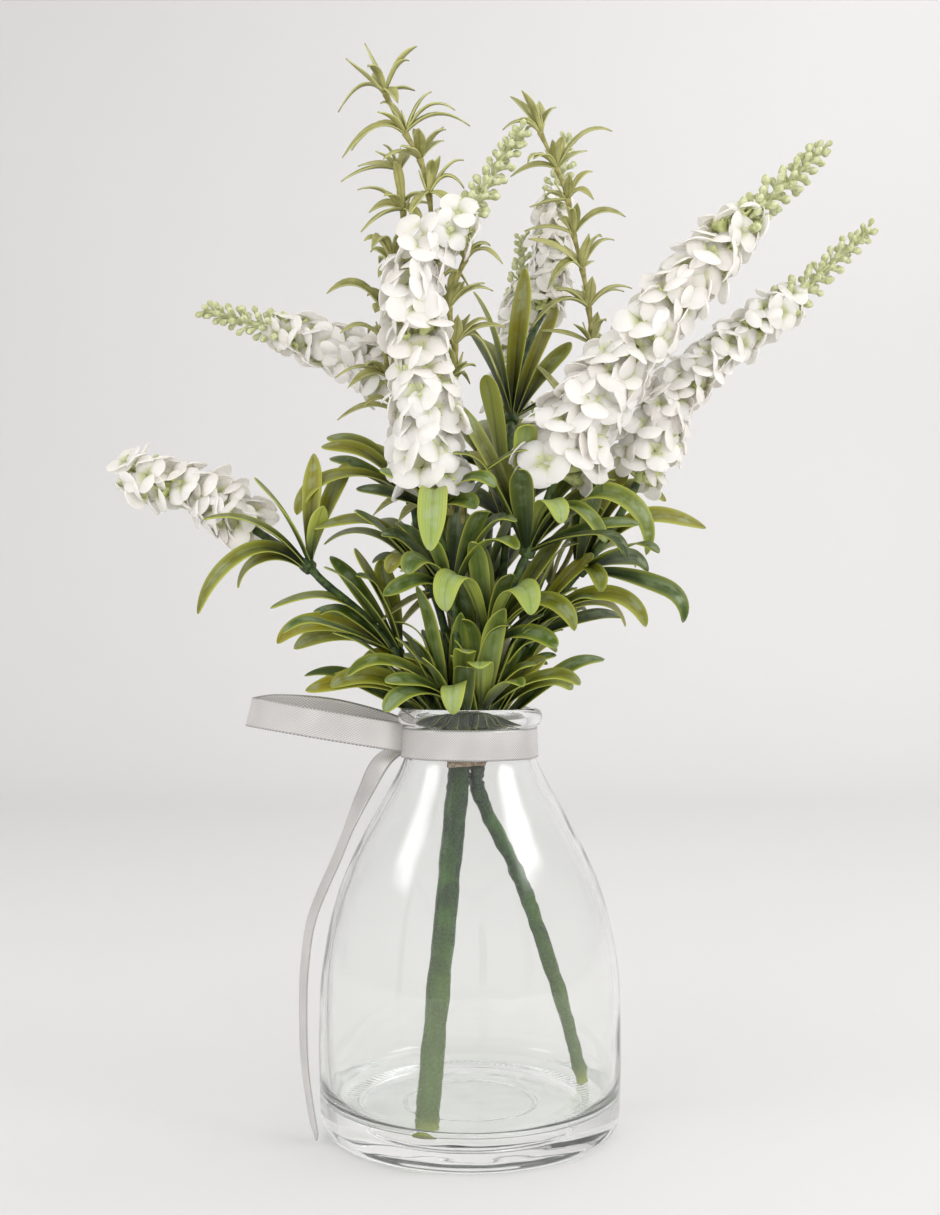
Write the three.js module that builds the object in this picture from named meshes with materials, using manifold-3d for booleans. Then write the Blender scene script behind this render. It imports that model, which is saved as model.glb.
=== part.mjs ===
// An artificial white lavender bush in a clear glass jar with a satin ribbon round its neck.
// Millimetres, +Z up, the viewer on the -Y side. The origin is the centre of the jar's base.
import * as THREE from "three";
import { mergeVertices } from "three/addons/utils/BufferGeometryUtils.js";
import Module from "manifold-3d";

const wasm = await Module();
wasm.setup();

// The clearance that neighbouring pieces keep
const GAP = 0.35;

// Jar
const JAR_HEIGHT = 138;
const JAR_RADIUS = 50.2;
const JAR_WALL = 2.5;
const FOOT_RADIUS = 46.5;
const FLOOR_HEIGHT = 9.6;
const FLOOR_RADIUS = 43.5;
const NECK_RADIUS = 21.8;
const NECK_BORE = 19.3;
const NECK_BOTTOM = 121;
const RIM_RADIUS = 24.2;
const RIM_BOTTOM = 131.8;
const JAR_SIDES = 24;
const JAR_SEAM = 60;

// Ribbon
const RIBBON_WIDTH = 10;
const RIBBON_THICK = 0.5;
const RIBBON_BOTTOM = 121.6;

// Stems, crown and tie
const MAIN_STEM_RADIUS = 3.6;
const SIDE_STEM_RADIUS = 2.4;
const CROWN_RADIUS = 8;
const CROWN_TAPER = 1.5;
const CROWN_BOTTOM = 124.4;
const CROWN_TOP = 128.4;
const BRANCH_BOTTOM = CROWN_TOP - 0.5;
const TIE_BOTTOM = 116.6;
const TIE_HEIGHT = 6.4;
const TIE_THICK = 0.9;
const TIE_SLACK = 0.75;
const TIE_SLANT = THREE.MathUtils.degToRad(4);
const BRANCH_RADIUS = 1.4;
const SPRIG_RADIUS = 1.0;

// Leaves
const COLLAR_RADIUS = 2.6;
const COLLAR_HEIGHT = 4.2;
const STRAP_LEAF = { width: 7.4, thick: 1.2, steps: 3 };
const SPRIG_LEAF = { width: 3.2, thick: 1.0, steps: 2 };

// Flower spikes
const CORE_RADIUS = 1.5;
const FLORET_PITCH = 11;
const FLORETS_PER_ROW = 3;
const FLORET_SHARE = 0.58;
const SPIKE_TAPER = 0.28;
const BUD_AXIS_RADIUS = 0.8;
const BUD_PITCH = 4;
const BUD_RADIUS = 1.3;
const BUD_LENGTH = 3.8;
const BUD_LEAN = 0.6;
const GOLDEN_ANGLE = THREE.MathUtils.degToRad(137.5);

const UP = new THREE.Vector3(0, 0, 1);

// Materials
const plastic = (color, roughness) => new THREE.MeshStandardMaterial({ color, roughness, metalness: 0 });
const GLASS = new THREE.MeshStandardMaterial({
  color: 0xe8efed,
  roughness: 0.05,
  metalness: 0,
  transparent: true,
  opacity: 0.25,
});
const SATIN = plastic(0xdedadd, 0.4);
const TIE_TAN = plastic(0xb0a08e, 0.9);
const STEM_GREEN = plastic(0x3f6a3a, 0.5);
const BRANCH_GREEN = plastic(0x2c4528, 0.55);
const LEAF_GREEN = plastic(0x6b8238, 0.42);
const SPRIG_OLIVE = plastic(0x96924a, 0.5);
const PETAL_WHITE = plastic(0xf0eeea, 0.5);
const BUD_GREEN = plastic(0xb9c48c, 0.55);

// A closed geometry as a solid that can be joined and cut
function solidOf(geometry) {
  const bare = geometry.index ? geometry.toNonIndexed() : geometry.clone();
  bare.deleteAttribute("normal");
  bare.deleteAttribute("uv");
  const merged = mergeVertices(bare, 1e-4);
  return new wasm.Manifold(
    new wasm.Mesh({
      numProp: 3,
      vertProperties: new Float32Array(merged.attributes.position.array),
      triVerts: new Uint32Array(merged.index.array),
    }),
  );
}

function geometryOf(solid) {
  const mesh = solid.getMesh();
  const geometry = new THREE.BufferGeometry();
  geometry.setAttribute("position", new THREE.BufferAttribute(new Float32Array(mesh.vertProperties), 3));
  geometry.setIndex(new THREE.BufferAttribute(new Uint32Array(mesh.triVerts), 1));
  geometry.computeVertexNormals();
  return geometry;
}

const joined = (solids) => solids.reduce((all, one) => all.add(one));

const largestBody = (solid) =>
  solid.decompose().reduce((best, one) => (one.volume() > best.volume() ? one : best));

function boxesMeet(a, b) {
  const p = a.boundingBox();
  const q = b.boundingBox();
  return [0, 1, 2].every((k) => p.min[k] <= q.max[k] && q.min[k] <= p.max[k]);
}

// Pieces are placed one after another. Each leaves a slightly larger copy of itself, its keep-out,
// and every later piece is cut back from the keep-outs that it meets.
const part = new THREE.Group();
const keepOuts = new Map();

function cutBack(solid, ownName) {
  let cut = solid;
  for (const [name, keepOut] of keepOuts) {
    if (name !== ownName && boxesMeet(cut, keepOut)) cut = cut.subtract(keepOut);
  }
  return cut;
}

function place(name, solid, material) {
  const mesh = new THREE.Mesh(geometryOf(solid), material);
  mesh.name = name;
  part.add(mesh);
}

// A piece made by a builder that takes how much larger than life to make it
function placeClear(name, build, material) {
  place(name, largestBody(cutBack(build(0))), material);
  keepOuts.set(name, build(GAP));
}

// Routes
const vec = (p) => new THREE.Vector3(...p);
const route = (points) => new THREE.CatmullRomCurve3(points.map(vec), false, "catmullrom", 0.5);

class Stretch extends THREE.Curve {
  constructor(whole, from, to) {
    super();
    Object.assign(this, { whole, from, to });
  }
  getPoint(t, target = new THREE.Vector3()) {
    return this.whole.getPoint(THREE.MathUtils.lerp(this.from, this.to, t), target);
  }
}

// How far along a rising route a height is reached
function shareAtHeight(curve, height) {
  let low = 0;
  let high = 1;
  for (let step = 0; step < 30; step++) {
    const middle = (low + high) / 2;
    if (curve.getPoint(middle).z < height) low = middle;
    else high = middle;
  }
  return (low + high) / 2;
}

// A direction turned square to the route
const squareTo = (along, direction) => direction.addScaledVector(along, -direction.dot(along)).normalize();

// Shapes
function rod(curve, radius, sides, steps) {
  const corner = (i) => {
    const turn = (2 * Math.PI * i) / sides;
    return new THREE.Vector2(radius * Math.cos(turn), radius * Math.sin(turn));
  };
  const shape = new THREE.Shape(Array.from({ length: sides }, (_, i) => corner(i)));
  return solidOf(new THREE.ExtrudeGeometry(shape, { steps, extrudePath: curve, bevelEnabled: false }));
}

function lathe(profile) {
  const points = profile.map(([radius, height]) => new THREE.Vector2(radius, height));
  return solidOf(new THREE.LatheGeometry(points, JAR_SIDES).rotateX(Math.PI / 2));
}

// The sections of strips, 2 wide and 1 thick: flat, or keeled as a leaf is
const section = (corners) => new THREE.Shape(corners.map((p) => new THREE.Vector2(...p)));
const FLAT = section([[-1, -0.5], [1, -0.5], [1, 0.5], [-1, 0.5]]);
const KEELED = section([[0, -0.5], [1, 0.5], [-1, 0.5]]);

// A strip bent along a spine: frameAt gives its point, the way of its width and the way of its
// thickness, and halfWidth its half width, at each share of its length.
function bentStrip({ shape = FLAT, frameAt, halfWidth, thick, steps }) {
  const strip = new THREE.ExtrudeGeometry(shape, { depth: 1, steps, bevelEnabled: false });
  const position = strip.attributes.position;
  for (let i = 0; i < position.count; i++) {
    const t = position.getZ(i);
    const { point, side, normal } = frameAt(t);
    const corner = point.clone().addScaledVector(side, position.getX(i) * halfWidth(t));
    corner.addScaledVector(normal, position.getY(i) * thick);
    position.setXYZ(i, corner.x, corner.y, corner.z);
  }
  return solidOf(strip);
}

// Jar: a thick base, straight sides, a round shoulder, a short neck and a beaded rim
function jar(grow) {
  const shoulder = new THREE.SplineCurve(
    [
      [JAR_RADIUS, 34],
      [JAR_RADIUS - 0.9, 53],
      [45.3, 73],
      [39.4, 88.5],
      [32.6, 101.5],
      [NECK_RADIUS + 0.2, NECK_BOTTOM],
    ].map(([radius, height]) => new THREE.Vector2(radius, height)),
  ).getPoints(6);
  const outside = [
    [FOOT_RADIUS, 0],
    [FOOT_RADIUS + 2.6, 1.6],
    [JAR_RADIUS - 0.4, 8],
    ...shoulder.map((p) => [p.x, p.y]),
    [NECK_RADIUS, RIM_BOTTOM],
    [RIM_RADIUS, RIM_BOTTOM + 1.4],
    [RIM_RADIUS, JAR_HEIGHT - 1.6],
    [RIM_RADIUS - 1.6, JAR_HEIGHT],
  ];
  const inside = [
    [NECK_BORE + 1.2, JAR_HEIGHT],
    [NECK_BORE, JAR_HEIGHT - 1.5],
    ...shoulder.map((p) => [Math.max(p.x - JAR_WALL, NECK_BORE), p.y]).reverse(),
    [JAR_RADIUS - JAR_WALL - 0.4, FLOOR_HEIGHT + 4],
    [FLOOR_RADIUS, FLOOR_HEIGHT + grow],
  ];
  return lathe([
    [0, 0],
    ...outside.map(([radius, height]) => [radius + grow, height]),
    ...inside.map(([radius, height]) => [radius - grow, height]),
    [0, FLOOR_HEIGHT + grow],
  ]);
}

// The jar is one blown piece. It is handed over as two solids that meet in a flat ring under the
// shoulder, so that each is a simple wall round its own share of the space inside.
const [jarTop, jarBody] = jar(0).splitByPlane([0, 0, 1], JAR_SEAM);
place("glass_jar", jarBody, GLASS);
place("glass_jar_top", jarTop, GLASS);
keepOuts.set("glass_jar", jar(GAP));

// Ribbon: a band round the neck, one loop out to the left and one tail down the jar's left side
const ribbonMiddle = RIBBON_BOTTOM + RIBBON_WIDTH / 2;
const bandRadius = NECK_RADIUS + GAP;
const loopRoute = route([
  [-bandRadius - 0.1, -3, ribbonMiddle + 1.5],
  [-30, -6.4, ribbonMiddle + 3],
  [-48, -8, ribbonMiddle + 6],
  [-66, -6.6, ribbonMiddle + 9],
  [-73.2, -2.8, ribbonMiddle + 10],
  [-73.6, 0.6, ribbonMiddle + 10.2],
  [-66, 4, ribbonMiddle + 11],
  [-48, 7.4, ribbonMiddle + 9.5],
  [-30, 9.6, ribbonMiddle + 5],
  [-bandRadius + 2.4, 10.6, ribbonMiddle + 1],
]);
const tailRoute = route([
  [-bandRadius + 1.4, 9.6, ribbonMiddle - 1],
  [-29.6, 6.5, 120],
  [-35, 5, 110.5],
  [-39.8, 3, 100],
  [-45, 0.5, 87],
  [-52.4, -3, 69],
  [-54.6, -6, 54],
  [-54.8, -9, 40],
  [-53.8, -12.5, 23],
  [-50.8, -17.6, 8],
  [-48.8, -20.6, 1.2],
]);

// The loop stands on edge, so its width is upright.
function loopStrip(grow) {
  const frameAt = (t) => {
    const along = loopRoute.getTangent(t);
    const normal = new THREE.Vector3(along.y, -along.x, 0).normalize();
    return { point: loopRoute.getPoint(t), side: UP, normal };
  };
  const halfWidth = () => RIBBON_WIDTH / 2 + grow;
  return bentStrip({ frameAt, halfWidth, thick: RIBBON_THICK + 2 * grow, steps: 14 });
}

// The tail turns on its way down, and its cut end is a point.
function tailStrip(grow) {
  const frameAt = (t) => {
    const along = tailRoute.getTangent(t);
    const turn = THREE.MathUtils.lerp(0.5, 1.2, Math.min(1, t * 3));
    const side = squareTo(along, new THREE.Vector3(Math.cos(turn), -Math.sin(turn), 0));
    return { point: tailRoute.getPoint(t), side, normal: new THREE.Vector3().crossVectors(along, side) };
  };
  const halfWidth = (t) => (RIBBON_WIDTH / 2) * Math.min(1, 0.1 + (1 - t) * 16) + grow;
  return bentStrip({ frameAt, halfWidth, thick: RIBBON_THICK + 2 * grow, steps: 16 });
}

function neckBand(grow) {
  const inner = bandRadius - grow;
  const outer = bandRadius + RIBBON_THICK + grow;
  const bottom = RIBBON_BOTTOM - grow;
  const top = RIBBON_BOTTOM + RIBBON_WIDTH + grow;
  return lathe([[inner, bottom], [outer, bottom], [outer, top], [inner, top], [inner, bottom]]);
}
placeClear("satin_ribbon", (grow) => joined([neckBand(grow), loopStrip(grow), tailStrip(grow)]), SATIN);

// Stems: the main one leans to the front left of the floor, the side one to the right. The main stem
// ends in the crown that carries the branches.
const mainStemRoute = route([
  [-13, -40.6, FLOOR_HEIGHT - 1],
  [-12.3, -36.4, 22],
  [-9.4, -23.7, 55.7],
  [-5.2, -7, 100],
  [-3.6, 0, 118],
  [-3.4, 0, CROWN_BOTTOM + 1],
]);
const sideStemRoute = route([
  [39, 10, FLOOR_HEIGHT - 1],
  [35.3, 8, 24],
  [29, 6, 45.8],
  [19.8, 3, 72.6],
  [3.9, 0.4, 117],
  [3.6, 0.4, CROWN_BOTTOM - GAP],
]);
function crown(grow) {
  const height = CROWN_TOP - CROWN_BOTTOM + 2 * grow;
  const boss = new THREE.CylinderGeometry(CROWN_RADIUS + grow, CROWN_RADIUS - CROWN_TAPER + grow, height, 12);
  return solidOf(boss.rotateX(Math.PI / 2).translate(0, 0, (CROWN_BOTTOM + CROWN_TOP) / 2));
}
const mainStem = (grow) => rod(mainStemRoute, MAIN_STEM_RADIUS + grow, 10, 12).add(crown(grow));
placeClear("main_stem", mainStem, STEM_GREEN);
placeClear("side_stem", (grow) => rod(sideStemRoute, SIDE_STEM_RADIUS + grow, 8, 10), STEM_GREEN);

// Tie: a slack oval band round both stems, a little aslant
function tieOutline(grow) {
  const outline = new THREE.Shape();
  outline.absarc(-3.7, -0.1, MAIN_STEM_RADIUS + TIE_SLACK + grow, Math.PI / 2, -Math.PI / 2, false);
  outline.absarc(3.8, 0.3, SIDE_STEM_RADIUS + TIE_SLACK + grow, -Math.PI / 2, Math.PI / 2, false);
  return outline;
}
function tie() {
  const shape = tieOutline(TIE_THICK);
  shape.holes.push(tieOutline(0));
  const band = new THREE.ExtrudeGeometry(shape, { depth: TIE_HEIGHT, bevelEnabled: false, curveSegments: 6 });
  return solidOf(band.rotateY(TIE_SLANT).translate(0, 0, TIE_BOTTOM));
}
place("stem_tie", largestBody(cutBack(tie())), TIE_TAN);

// Branches, one for each flower spike: the route from the crown to the spike's end, the heights
// between which the florets sit, how far they spread from the stem, and the leaf whorls. A whorl is
// its height and its leaves, and a leaf is its tip and how far it arches over the straight line to it.
const branches = {
  front: {
    points: [
      [-3, -5.5, BRANCH_BOTTOM],
      [-5, -8, 167],
      [-9, -14, 192],
      [-12, -18, 210],
      [-14, -20, 229],
      [-15, -20, 245],
      [-18, -18, 264],
      [-19, -17, 277],
      [-14, -15, 291],
      [-1, -12, 302],
      [9, -9, 319],
      [17, -7, 332],
    ],
    flowers: [209, 300],
    spread: 12,
    whorls: [
      [203, [[-12, -50, 186, 25], [9, -34, 210, 12], [3, -26, 204, 5], [-29, -30, 214, 7],
        [-23, 12, 226, 8]]],
      [176, [[15, -30, 203, 11], [16, -38, 191, 16], [-21, -40, 185, 11], [-28, -22, 174, 11],
        [-11, 18, 210, 4]]],
      [136, [[-42, -20, 152, 18], [-27, -34, 147, 11], [-28, -36, 140, 13], [-6, -40, 141, 15],
        [-1, -34, 158, 14]]],
    ],
  },
  right_high: {
    points: [
      [3, -4.5, BRANCH_BOTTOM],
      [7, -6, 161],
      [19, -14, 190],
      [27, -18, 211],
      [33, -22, 229],
      [45, -25, 244],
      [60, -26, 263],
      [74, -24, 280],
      [90, -20, 298],
      [106, -14, 313],
      [118, -8, 326],
    ],
    flowers: [212, 299],
    spread: 12,
    whorls: [
      [190, [[30, -38, 198, 22], [44, -30, 191, 28], [66, -22, 190, 39], [-4, -8, 240, 9], [18, -30, 229, 21],
        [49, -6, 212, 27]]],
      [158, [[-11, -46, 173, 30], [21, -44, 172, 24], [36, -30, 165, 25], [29, -22, 159, 10],
        [34, -6, 201, 6]]],
      [136, [[17, -32, 150, 5], [38, -14, 150, 10], [3, -36, 156, 8], [22, -12, 154, 9]]],
    ],
  },
  right_low: {
    points: [
      [5.6, 0.8, BRANCH_BOTTOM],
      [15, 2, 154],
      [32, 2, 178],
      [45, 0, 194],
      [56, -2, 213],
      [61, -4, 228],
      [68, -4, 242],
      [79, -4, 253],
      [95, -4, 266],
      [109, -2, 276],
      [124, 2, 290],
      [138, 6, 303],
    ],
    flowers: [214, 277],
    spread: 9,
    whorls: [
      [185, [[81, 4, 197, 25], [69, 14, 208, 33], [44, -18, 178, 6], [55, 8, 220, 15], [47, 34, 223, 9],
        [62, 36, 190, 17]]],
      [161, [[64, -2, 168, 25], [58, 10, 169, 19], [42, -4, 190, 9], [44, 38, 176, 21], [28, 40, 191, 13]]],
      [136, [[37, 4, 147, 11], [26, -6, 154, 10], [32, 30, 161, 16], [18, 36, 161, 16]]],
    ],
  },
  left_high: {
    points: [
      [-5, 4.4, BRANCH_BOTTOM],
      [-8, 6, 161],
      [-16, 10, 189],
      [-21, 14, 217],
      [-24, 18, 239],
      [-30, 20, 254],
      [-41, 22, 262],
      [-54, 24, 268],
      [-67, 25, 272],
      [-81, 26, 276],
      [-95, 26, 280],
    ],
    flowers: [252, 272.5],
    spread: 8.5,
    whorls: [
      [210, [[-65, 4, 207, 20], [-53, 16, 228, 16], [-52, 24, 233, 16], [-43, 34, 232, 13],
        [-26, 46, 236, 7]]],
      [178, [[-52, -6, 195, 29], [-52, 8, 195, 22], [-28, -18, 185, 13], [-35, 24, 204, 18],
        [-19, 44, 206, 10]]],
      [138, [[-22, -8, 157, 8], [-36, 16, 156, 11], [-25, 34, 161, 12], [-11, 36, 169, 9]]],
    ],
  },
  left_low: {
    points: [
      [-6.2, -1.6, BRANCH_BOTTOM],
      [-15, 0, 141],
      [-25, -2, 157],
      [-37, -3, 170],
      [-49, -2, 180],
      [-55, 0, 186],
      [-65, 5, 193],
      [-76, 9, 200],
      [-85, 11, 207],
      [-98, 13, 213],
      [-111, 15, 217],
      [-119, 21, 220],
      [-121, 32, 223],
      [-117, 44, 227],
    ],
    flowers: [199, 220],
    spread: 8.5,
    whorls: [
      [186, [[-95, -4, 170, 26], [-84, 10, 181, 13], [-90, -8, 202, 13], [-72, -10, 215, 7], [-54, 8, 226, 6],
        [-43, 16, 224, 6], [-49, -6, 206, 4]]],
      [157, [[-67, -8, 170, 24], [-68, -2, 163, 14], [-62, 8, 159, 12], [-39, -6, 192, 6], [-31, 6, 189, 3],
        [-45, 30, 168, 10]]],
      [137, [[-37, -6, 157, 15], [-48, -4, 146, 15], [-56, 0, 142, 17], [-36, 14, 151, 10]]],
    ],
  },
  back: {
    points: [
      [0.6, 5.6, BRANCH_BOTTOM],
      [7, 8, 154],
      [12, 14, 189],
      [14, 20, 218],
      [15, 26, 241],
      [21, 42, 269],
      [29, 54, 291],
      [31, 60, 312],
      [33, 62, 331],
      [36, 63, 345],
      [38, 64, 357],
    ],
    flowers: [286, 331],
    spread: 8.5,
    whorls: [
      [241, [[20, 28, 297, 0], [32, 34, 284, 4], [1, 22, 286, 18], [2, 44, 273, 21], [38, 44, 273, 5]]],
      [203, [[5, 12, 254, 19], [12, 0, 224, 3], [34, 44, 240, 14], [0, 52, 237, 10], [23, 62, 239, 10]]],
      [142, [[13, 38, 176, 4], [0, 42, 176, 0], [26, 44, 161, 12]]],
    ],
  },
  far_back: {
    points: [
      [4.6, 4.6, BRANCH_BOTTOM],
      [3, 12, 158],
      [6, 24, 190],
      [9, 42, 224],
      [14, 56, 253],
      [18, 66, 281],
      [20, 70, 301],
      [21, 72, 320],
    ],
    flowers: [250, 298],
    spread: 8.5,
    whorls: [
      [224, [[36, 78, 257, 7], [-12, 72, 252, 7], [25, 92, 268, 2], [4, 90, 251, 11]]],
      [177, [[-8, 62, 208, 0], [27, 64, 212, 0], [-26, 44, 191, 1], [12, 70, 201, 4]]],
    ],
  },
};

// Filler sprigs, each one moulded piece: the route of the stem, and the nodes with their narrow leaves,
// written as a whorl is.
const sprigs = {
  left_tall: {
    points: [
      [-1.6, 1.4, BRANCH_BOTTOM],
      [-3, 4, 175],
      [-7, 2, 215],
      [-10, 0, 249],
      [-12, -2, 276],
      [-13, -4, 301],
      [-14, -4, 312],
      [-17, -4, 324],
      [-22, -4, 333],
      [-30, -4, 349],
    ],
    nodes: [
      [347, [[-36, -2, 365, 0], [-42, -8, 357, 0], [-18, -6, 362, 6], [-45, -2, 341, 11]]],
      [333, [[-43, -8, 323, 12], [-41, 4, 330, 11], [-5, -6, 340, 11], [0, 0, 337, 10]]],
      [324, [[-29, -12, 321, 5], [-9, -2, 336, 2], [-9, 8, 335, 3], [-17, -16, 330, 2]]],
      [312, [[-2, -4, 314, 10], [-3, -14, 301, 5], [-24, 6, 312, 3], [-10, -10, 323, 2]]],
      [240, [[0, 10, 250, 15], [-19, 12, 252, 15]]],
    ],
  },
  left_short: {
    points: [
      [-2.4, 5.8, BRANCH_BOTTOM],
      [-8, 12, 175],
      [-16, 12, 210],
      [-23, 10, 230],
      [-26, 8, 242],
      [-28, 6, 252],
      [-30, 5, 265],
      [-30, 4, 275],
      [-27, 4, 289],
      [-24, 4, 300],
      [-23, 4, 311],
      [-25, 4, 325],
    ],
    nodes: [
      [323, [[-44, -2, 317, 5], [-39, 8, 326, 3], [-21, 12, 333, 2]]],
      [309, [[-37, -4, 299, 4], [-35, 6, 309, 5], [-14, 12, 314, 3]]],
      [290, [[-36, -4, 296, 9], [-33, -10, 291, 14], [-18, 14, 300, 4]]],
      [275, [[-49, 0, 279, 12], [-21, 14, 284, 3]]],
      [264, [[-44, -2, 265, 8], [-21, 16, 272, 2]]],
      [251, [[-46, 0, 250, 8], [-41, -8, 245, 7]]],
      [207, [[-33, 0, 203, 10], [-11, 20, 211, 3]]],
      [178, [[-31, -6, 166, 5], [-26, 4, 163, 5]]],
    ],
  },
  centre: {
    points: [
      [1.8, 0.8, BRANCH_BOTTOM],
      [1, 0, 174],
      [-3, -2, 208],
      [-5, -2, 242],
      [-5, -2, 259],
      [-7, -2, 274],
      [-4, -1, 285],
      [-1, 0, 292],
    ],
    nodes: [
      [291, [[7, -2, 295, 5], [11, -8, 287, 8], [-7, 8, 300, 1]]],
      [274, [[5, -6, 281, 4], [8, 4, 281, 7], [-14, 8, 282, 2]]],
      [261, [[12, -6, 266, 6], [0, 4, 273, 1], [10, 2, 250, 16]]],
    ],
  },
  right_tall: {
    points: [
      [6.6, 3.4, BRANCH_BOTTOM],
      [14, 10, 158],
      [34, 14, 189],
      [38, 18, 207],
      [43, 24, 236],
      [44, 28, 268],
      [43, 30, 283],
      [41, 32, 297],
      [38, 33, 310],
      [36, 34, 323],
      [32, 35, 335],
      [25, 36, 351],
    ],
    nodes: [
      [349, [[19, 32, 363, 3], [15, 40, 364, 4], [32, 38, 359, 5], [12, 34, 349, 7]]],
      [335, [[52, 30, 347, 12], [44, 44, 345, 3], [23, 28, 336, 6], [15, 38, 333, 5]]],
      [323, [[45, 28, 321, 7], [22, 36, 321, 1], [27, 44, 331, 0]]],
      [310, [[57, 32, 316, 10], [20, 36, 312, 4], [34, 42, 320, 1]]],
      [297, [[53, 34, 308, 8], [46, 40, 302, 1], [28, 28, 288, 11]]],
      [282, [[59, 30, 289, 7], [57, 38, 290, 6], [21, 26, 272, 13]]],
      [268, [[25, 28, 273, 3], [37, 22, 274, 2], [47, 36, 282, 1]]],
      [230, [[22, 36, 264, 9], [55, 40, 239, 2]]],
    ],
  },
};

// Rods come first, so that every later piece is cut back from them and none of them is severed. A
// branch rod ends where its florets start.
for (const [name, branch] of Object.entries(branches)) {
  branch.curve = route(branch.points);
  const [low, high] = branch.flowers.map((height) => shareAtHeight(branch.curve, height));
  const gapShare = GAP / branch.curve.getLength();
  branch.rod = new Stretch(branch.curve, 0, low - gapShare);
  branch.core = new Stretch(branch.curve, low, high);
  branch.tip = new Stretch(branch.curve, high + gapShare, 1);
  placeClear(`branch_${name}`, (grow) => rod(branch.rod, BRANCH_RADIUS + grow, 6, 10), BRANCH_GREEN);
  keepOuts.set(`core_${name}`, rod(branch.core, CORE_RADIUS + GAP, 6, 10));
}
for (const [name, sprig] of Object.entries(sprigs)) {
  sprig.curve = route(sprig.points);
  sprig.stem = largestBody(cutBack(rod(sprig.curve, SPRIG_RADIUS, 6, 12)));
  keepOuts.set(`sprig_${name}`, rod(sprig.curve, SPRIG_RADIUS + GAP, 6, 12));
}

// Florets: rows of three on a core that sits end to end with the branch, each row turned half a step
// from the last. A four-sided trumpet stands for a floret's four petals and the calyx behind them.
function floret({ centre, along, turn, spread, grow }) {
  const out = squareTo(along, new THREE.Vector3(Math.cos(turn), Math.sin(turn), 0));
  const trumpet = new THREE.ConeGeometry(FLORET_SHARE * spread + 2 * grow, spread + grow, 4);
  trumpet.rotateX(-Math.PI / 2).translate(0, 0, (spread + grow) / 2);
  trumpet.applyQuaternion(new THREE.Quaternion().setFromUnitVectors(UP, out));
  return solidOf(trumpet.translate(...centre.toArray()));
}
function florets(branch, grow) {
  const { core } = branch;
  const solids = [rod(core, CORE_RADIUS + grow, 6, 10)];
  const rows = Math.round(core.getLength() / FLORET_PITCH);
  for (let row = 0; row < rows; row++) {
    const t = (row + 0.5) / rows;
    const along = core.getTangent(t);
    const spread = branch.spread * (1 - SPIKE_TAPER * t);
    for (let n = 0; n < FLORETS_PER_ROW; n++) {
      const turn = (2 * Math.PI * (n + row / 2)) / FLORETS_PER_ROW;
      solids.push(floret({ centre: core.getPoint(t), along, turn, spread, grow }));
    }
  }
  return joined(solids);
}

// Bud tips: teardrop buds in a spiral round the thin end of the spike
function budTip({ tip }, grow) {
  const solids = [rod(tip, BUD_AXIS_RADIUS + grow, 5, 4)];
  const count = Math.round(tip.getLength() / BUD_PITCH);
  for (let n = 0; n < count; n++) {
    const t = (n + 0.7) / count;
    const along = tip.getTangent(t);
    const turn = n * GOLDEN_ANGLE;
    const out = squareTo(along, new THREE.Vector3(Math.cos(turn), Math.sin(turn), 0));
    out.addScaledVector(along, BUD_LEAN).normalize();
    const bud = new THREE.OctahedronGeometry(1, 0);
    bud.scale(BUD_RADIUS + grow, BUD_RADIUS + grow, BUD_LENGTH / 2 + grow);
    bud.applyQuaternion(new THREE.Quaternion().setFromUnitVectors(UP, out));
    bud.translate(...tip.getPoint(t).addScaledVector(out, BUD_LENGTH / 2).toArray());
    solids.push(solidOf(bud));
  }
  return joined(solids);
}

for (const [name, branch] of Object.entries(branches)) {
  keepOuts.delete(`core_${name}`);
  placeClear(`florets_${name}`, (grow) => florets(branch, grow), PETAL_WHITE);
  placeClear(`bud_tip_${name}`, (grow) => budTip(branch, grow), BUD_GREEN);
}

// Leaves: a leaf springs from the stem's surface, arches over and comes down to its tip. It is narrow
// at the base, widest past its middle and drawn in at the tip.
const leafOutline = (t) => 0.36 + 0.64 * Math.sin(0.8 * Math.PI * t) - 0.6 * t ** 8;

function leaf({ centre, along, stemRadius, tip: [x, y, z, arch], size, grow }) {
  const tip = new THREE.Vector3(x, y, z);
  const out = squareTo(along, tip.clone().sub(centre));
  const base = centre.clone().addScaledVector(out, 0.6 * stemRadius);
  const crest = base.clone().lerp(tip, 0.5).addScaledVector(UP, arch);
  const spine = new THREE.QuadraticBezierCurve3(base, crest, tip);
  const side = new THREE.Vector3(base.y - tip.y, tip.x - base.x, 0).normalize();
  const frameAt = (t) => {
    const forward = spine.getTangent(t);
    const point = spine.getPoint(t).addScaledVector(forward, grow * (2 * t - 1));
    return { point, side, normal: new THREE.Vector3().crossVectors(forward, side).normalize() };
  };
  const halfWidth = (t) => (size.width / 2) * leafOutline(t) + grow;
  const shape = grow ? FLAT : KEELED;
  return bentStrip({ shape, frameAt, halfWidth, thick: size.thick + 2 * grow, steps: size.steps });
}

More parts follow.
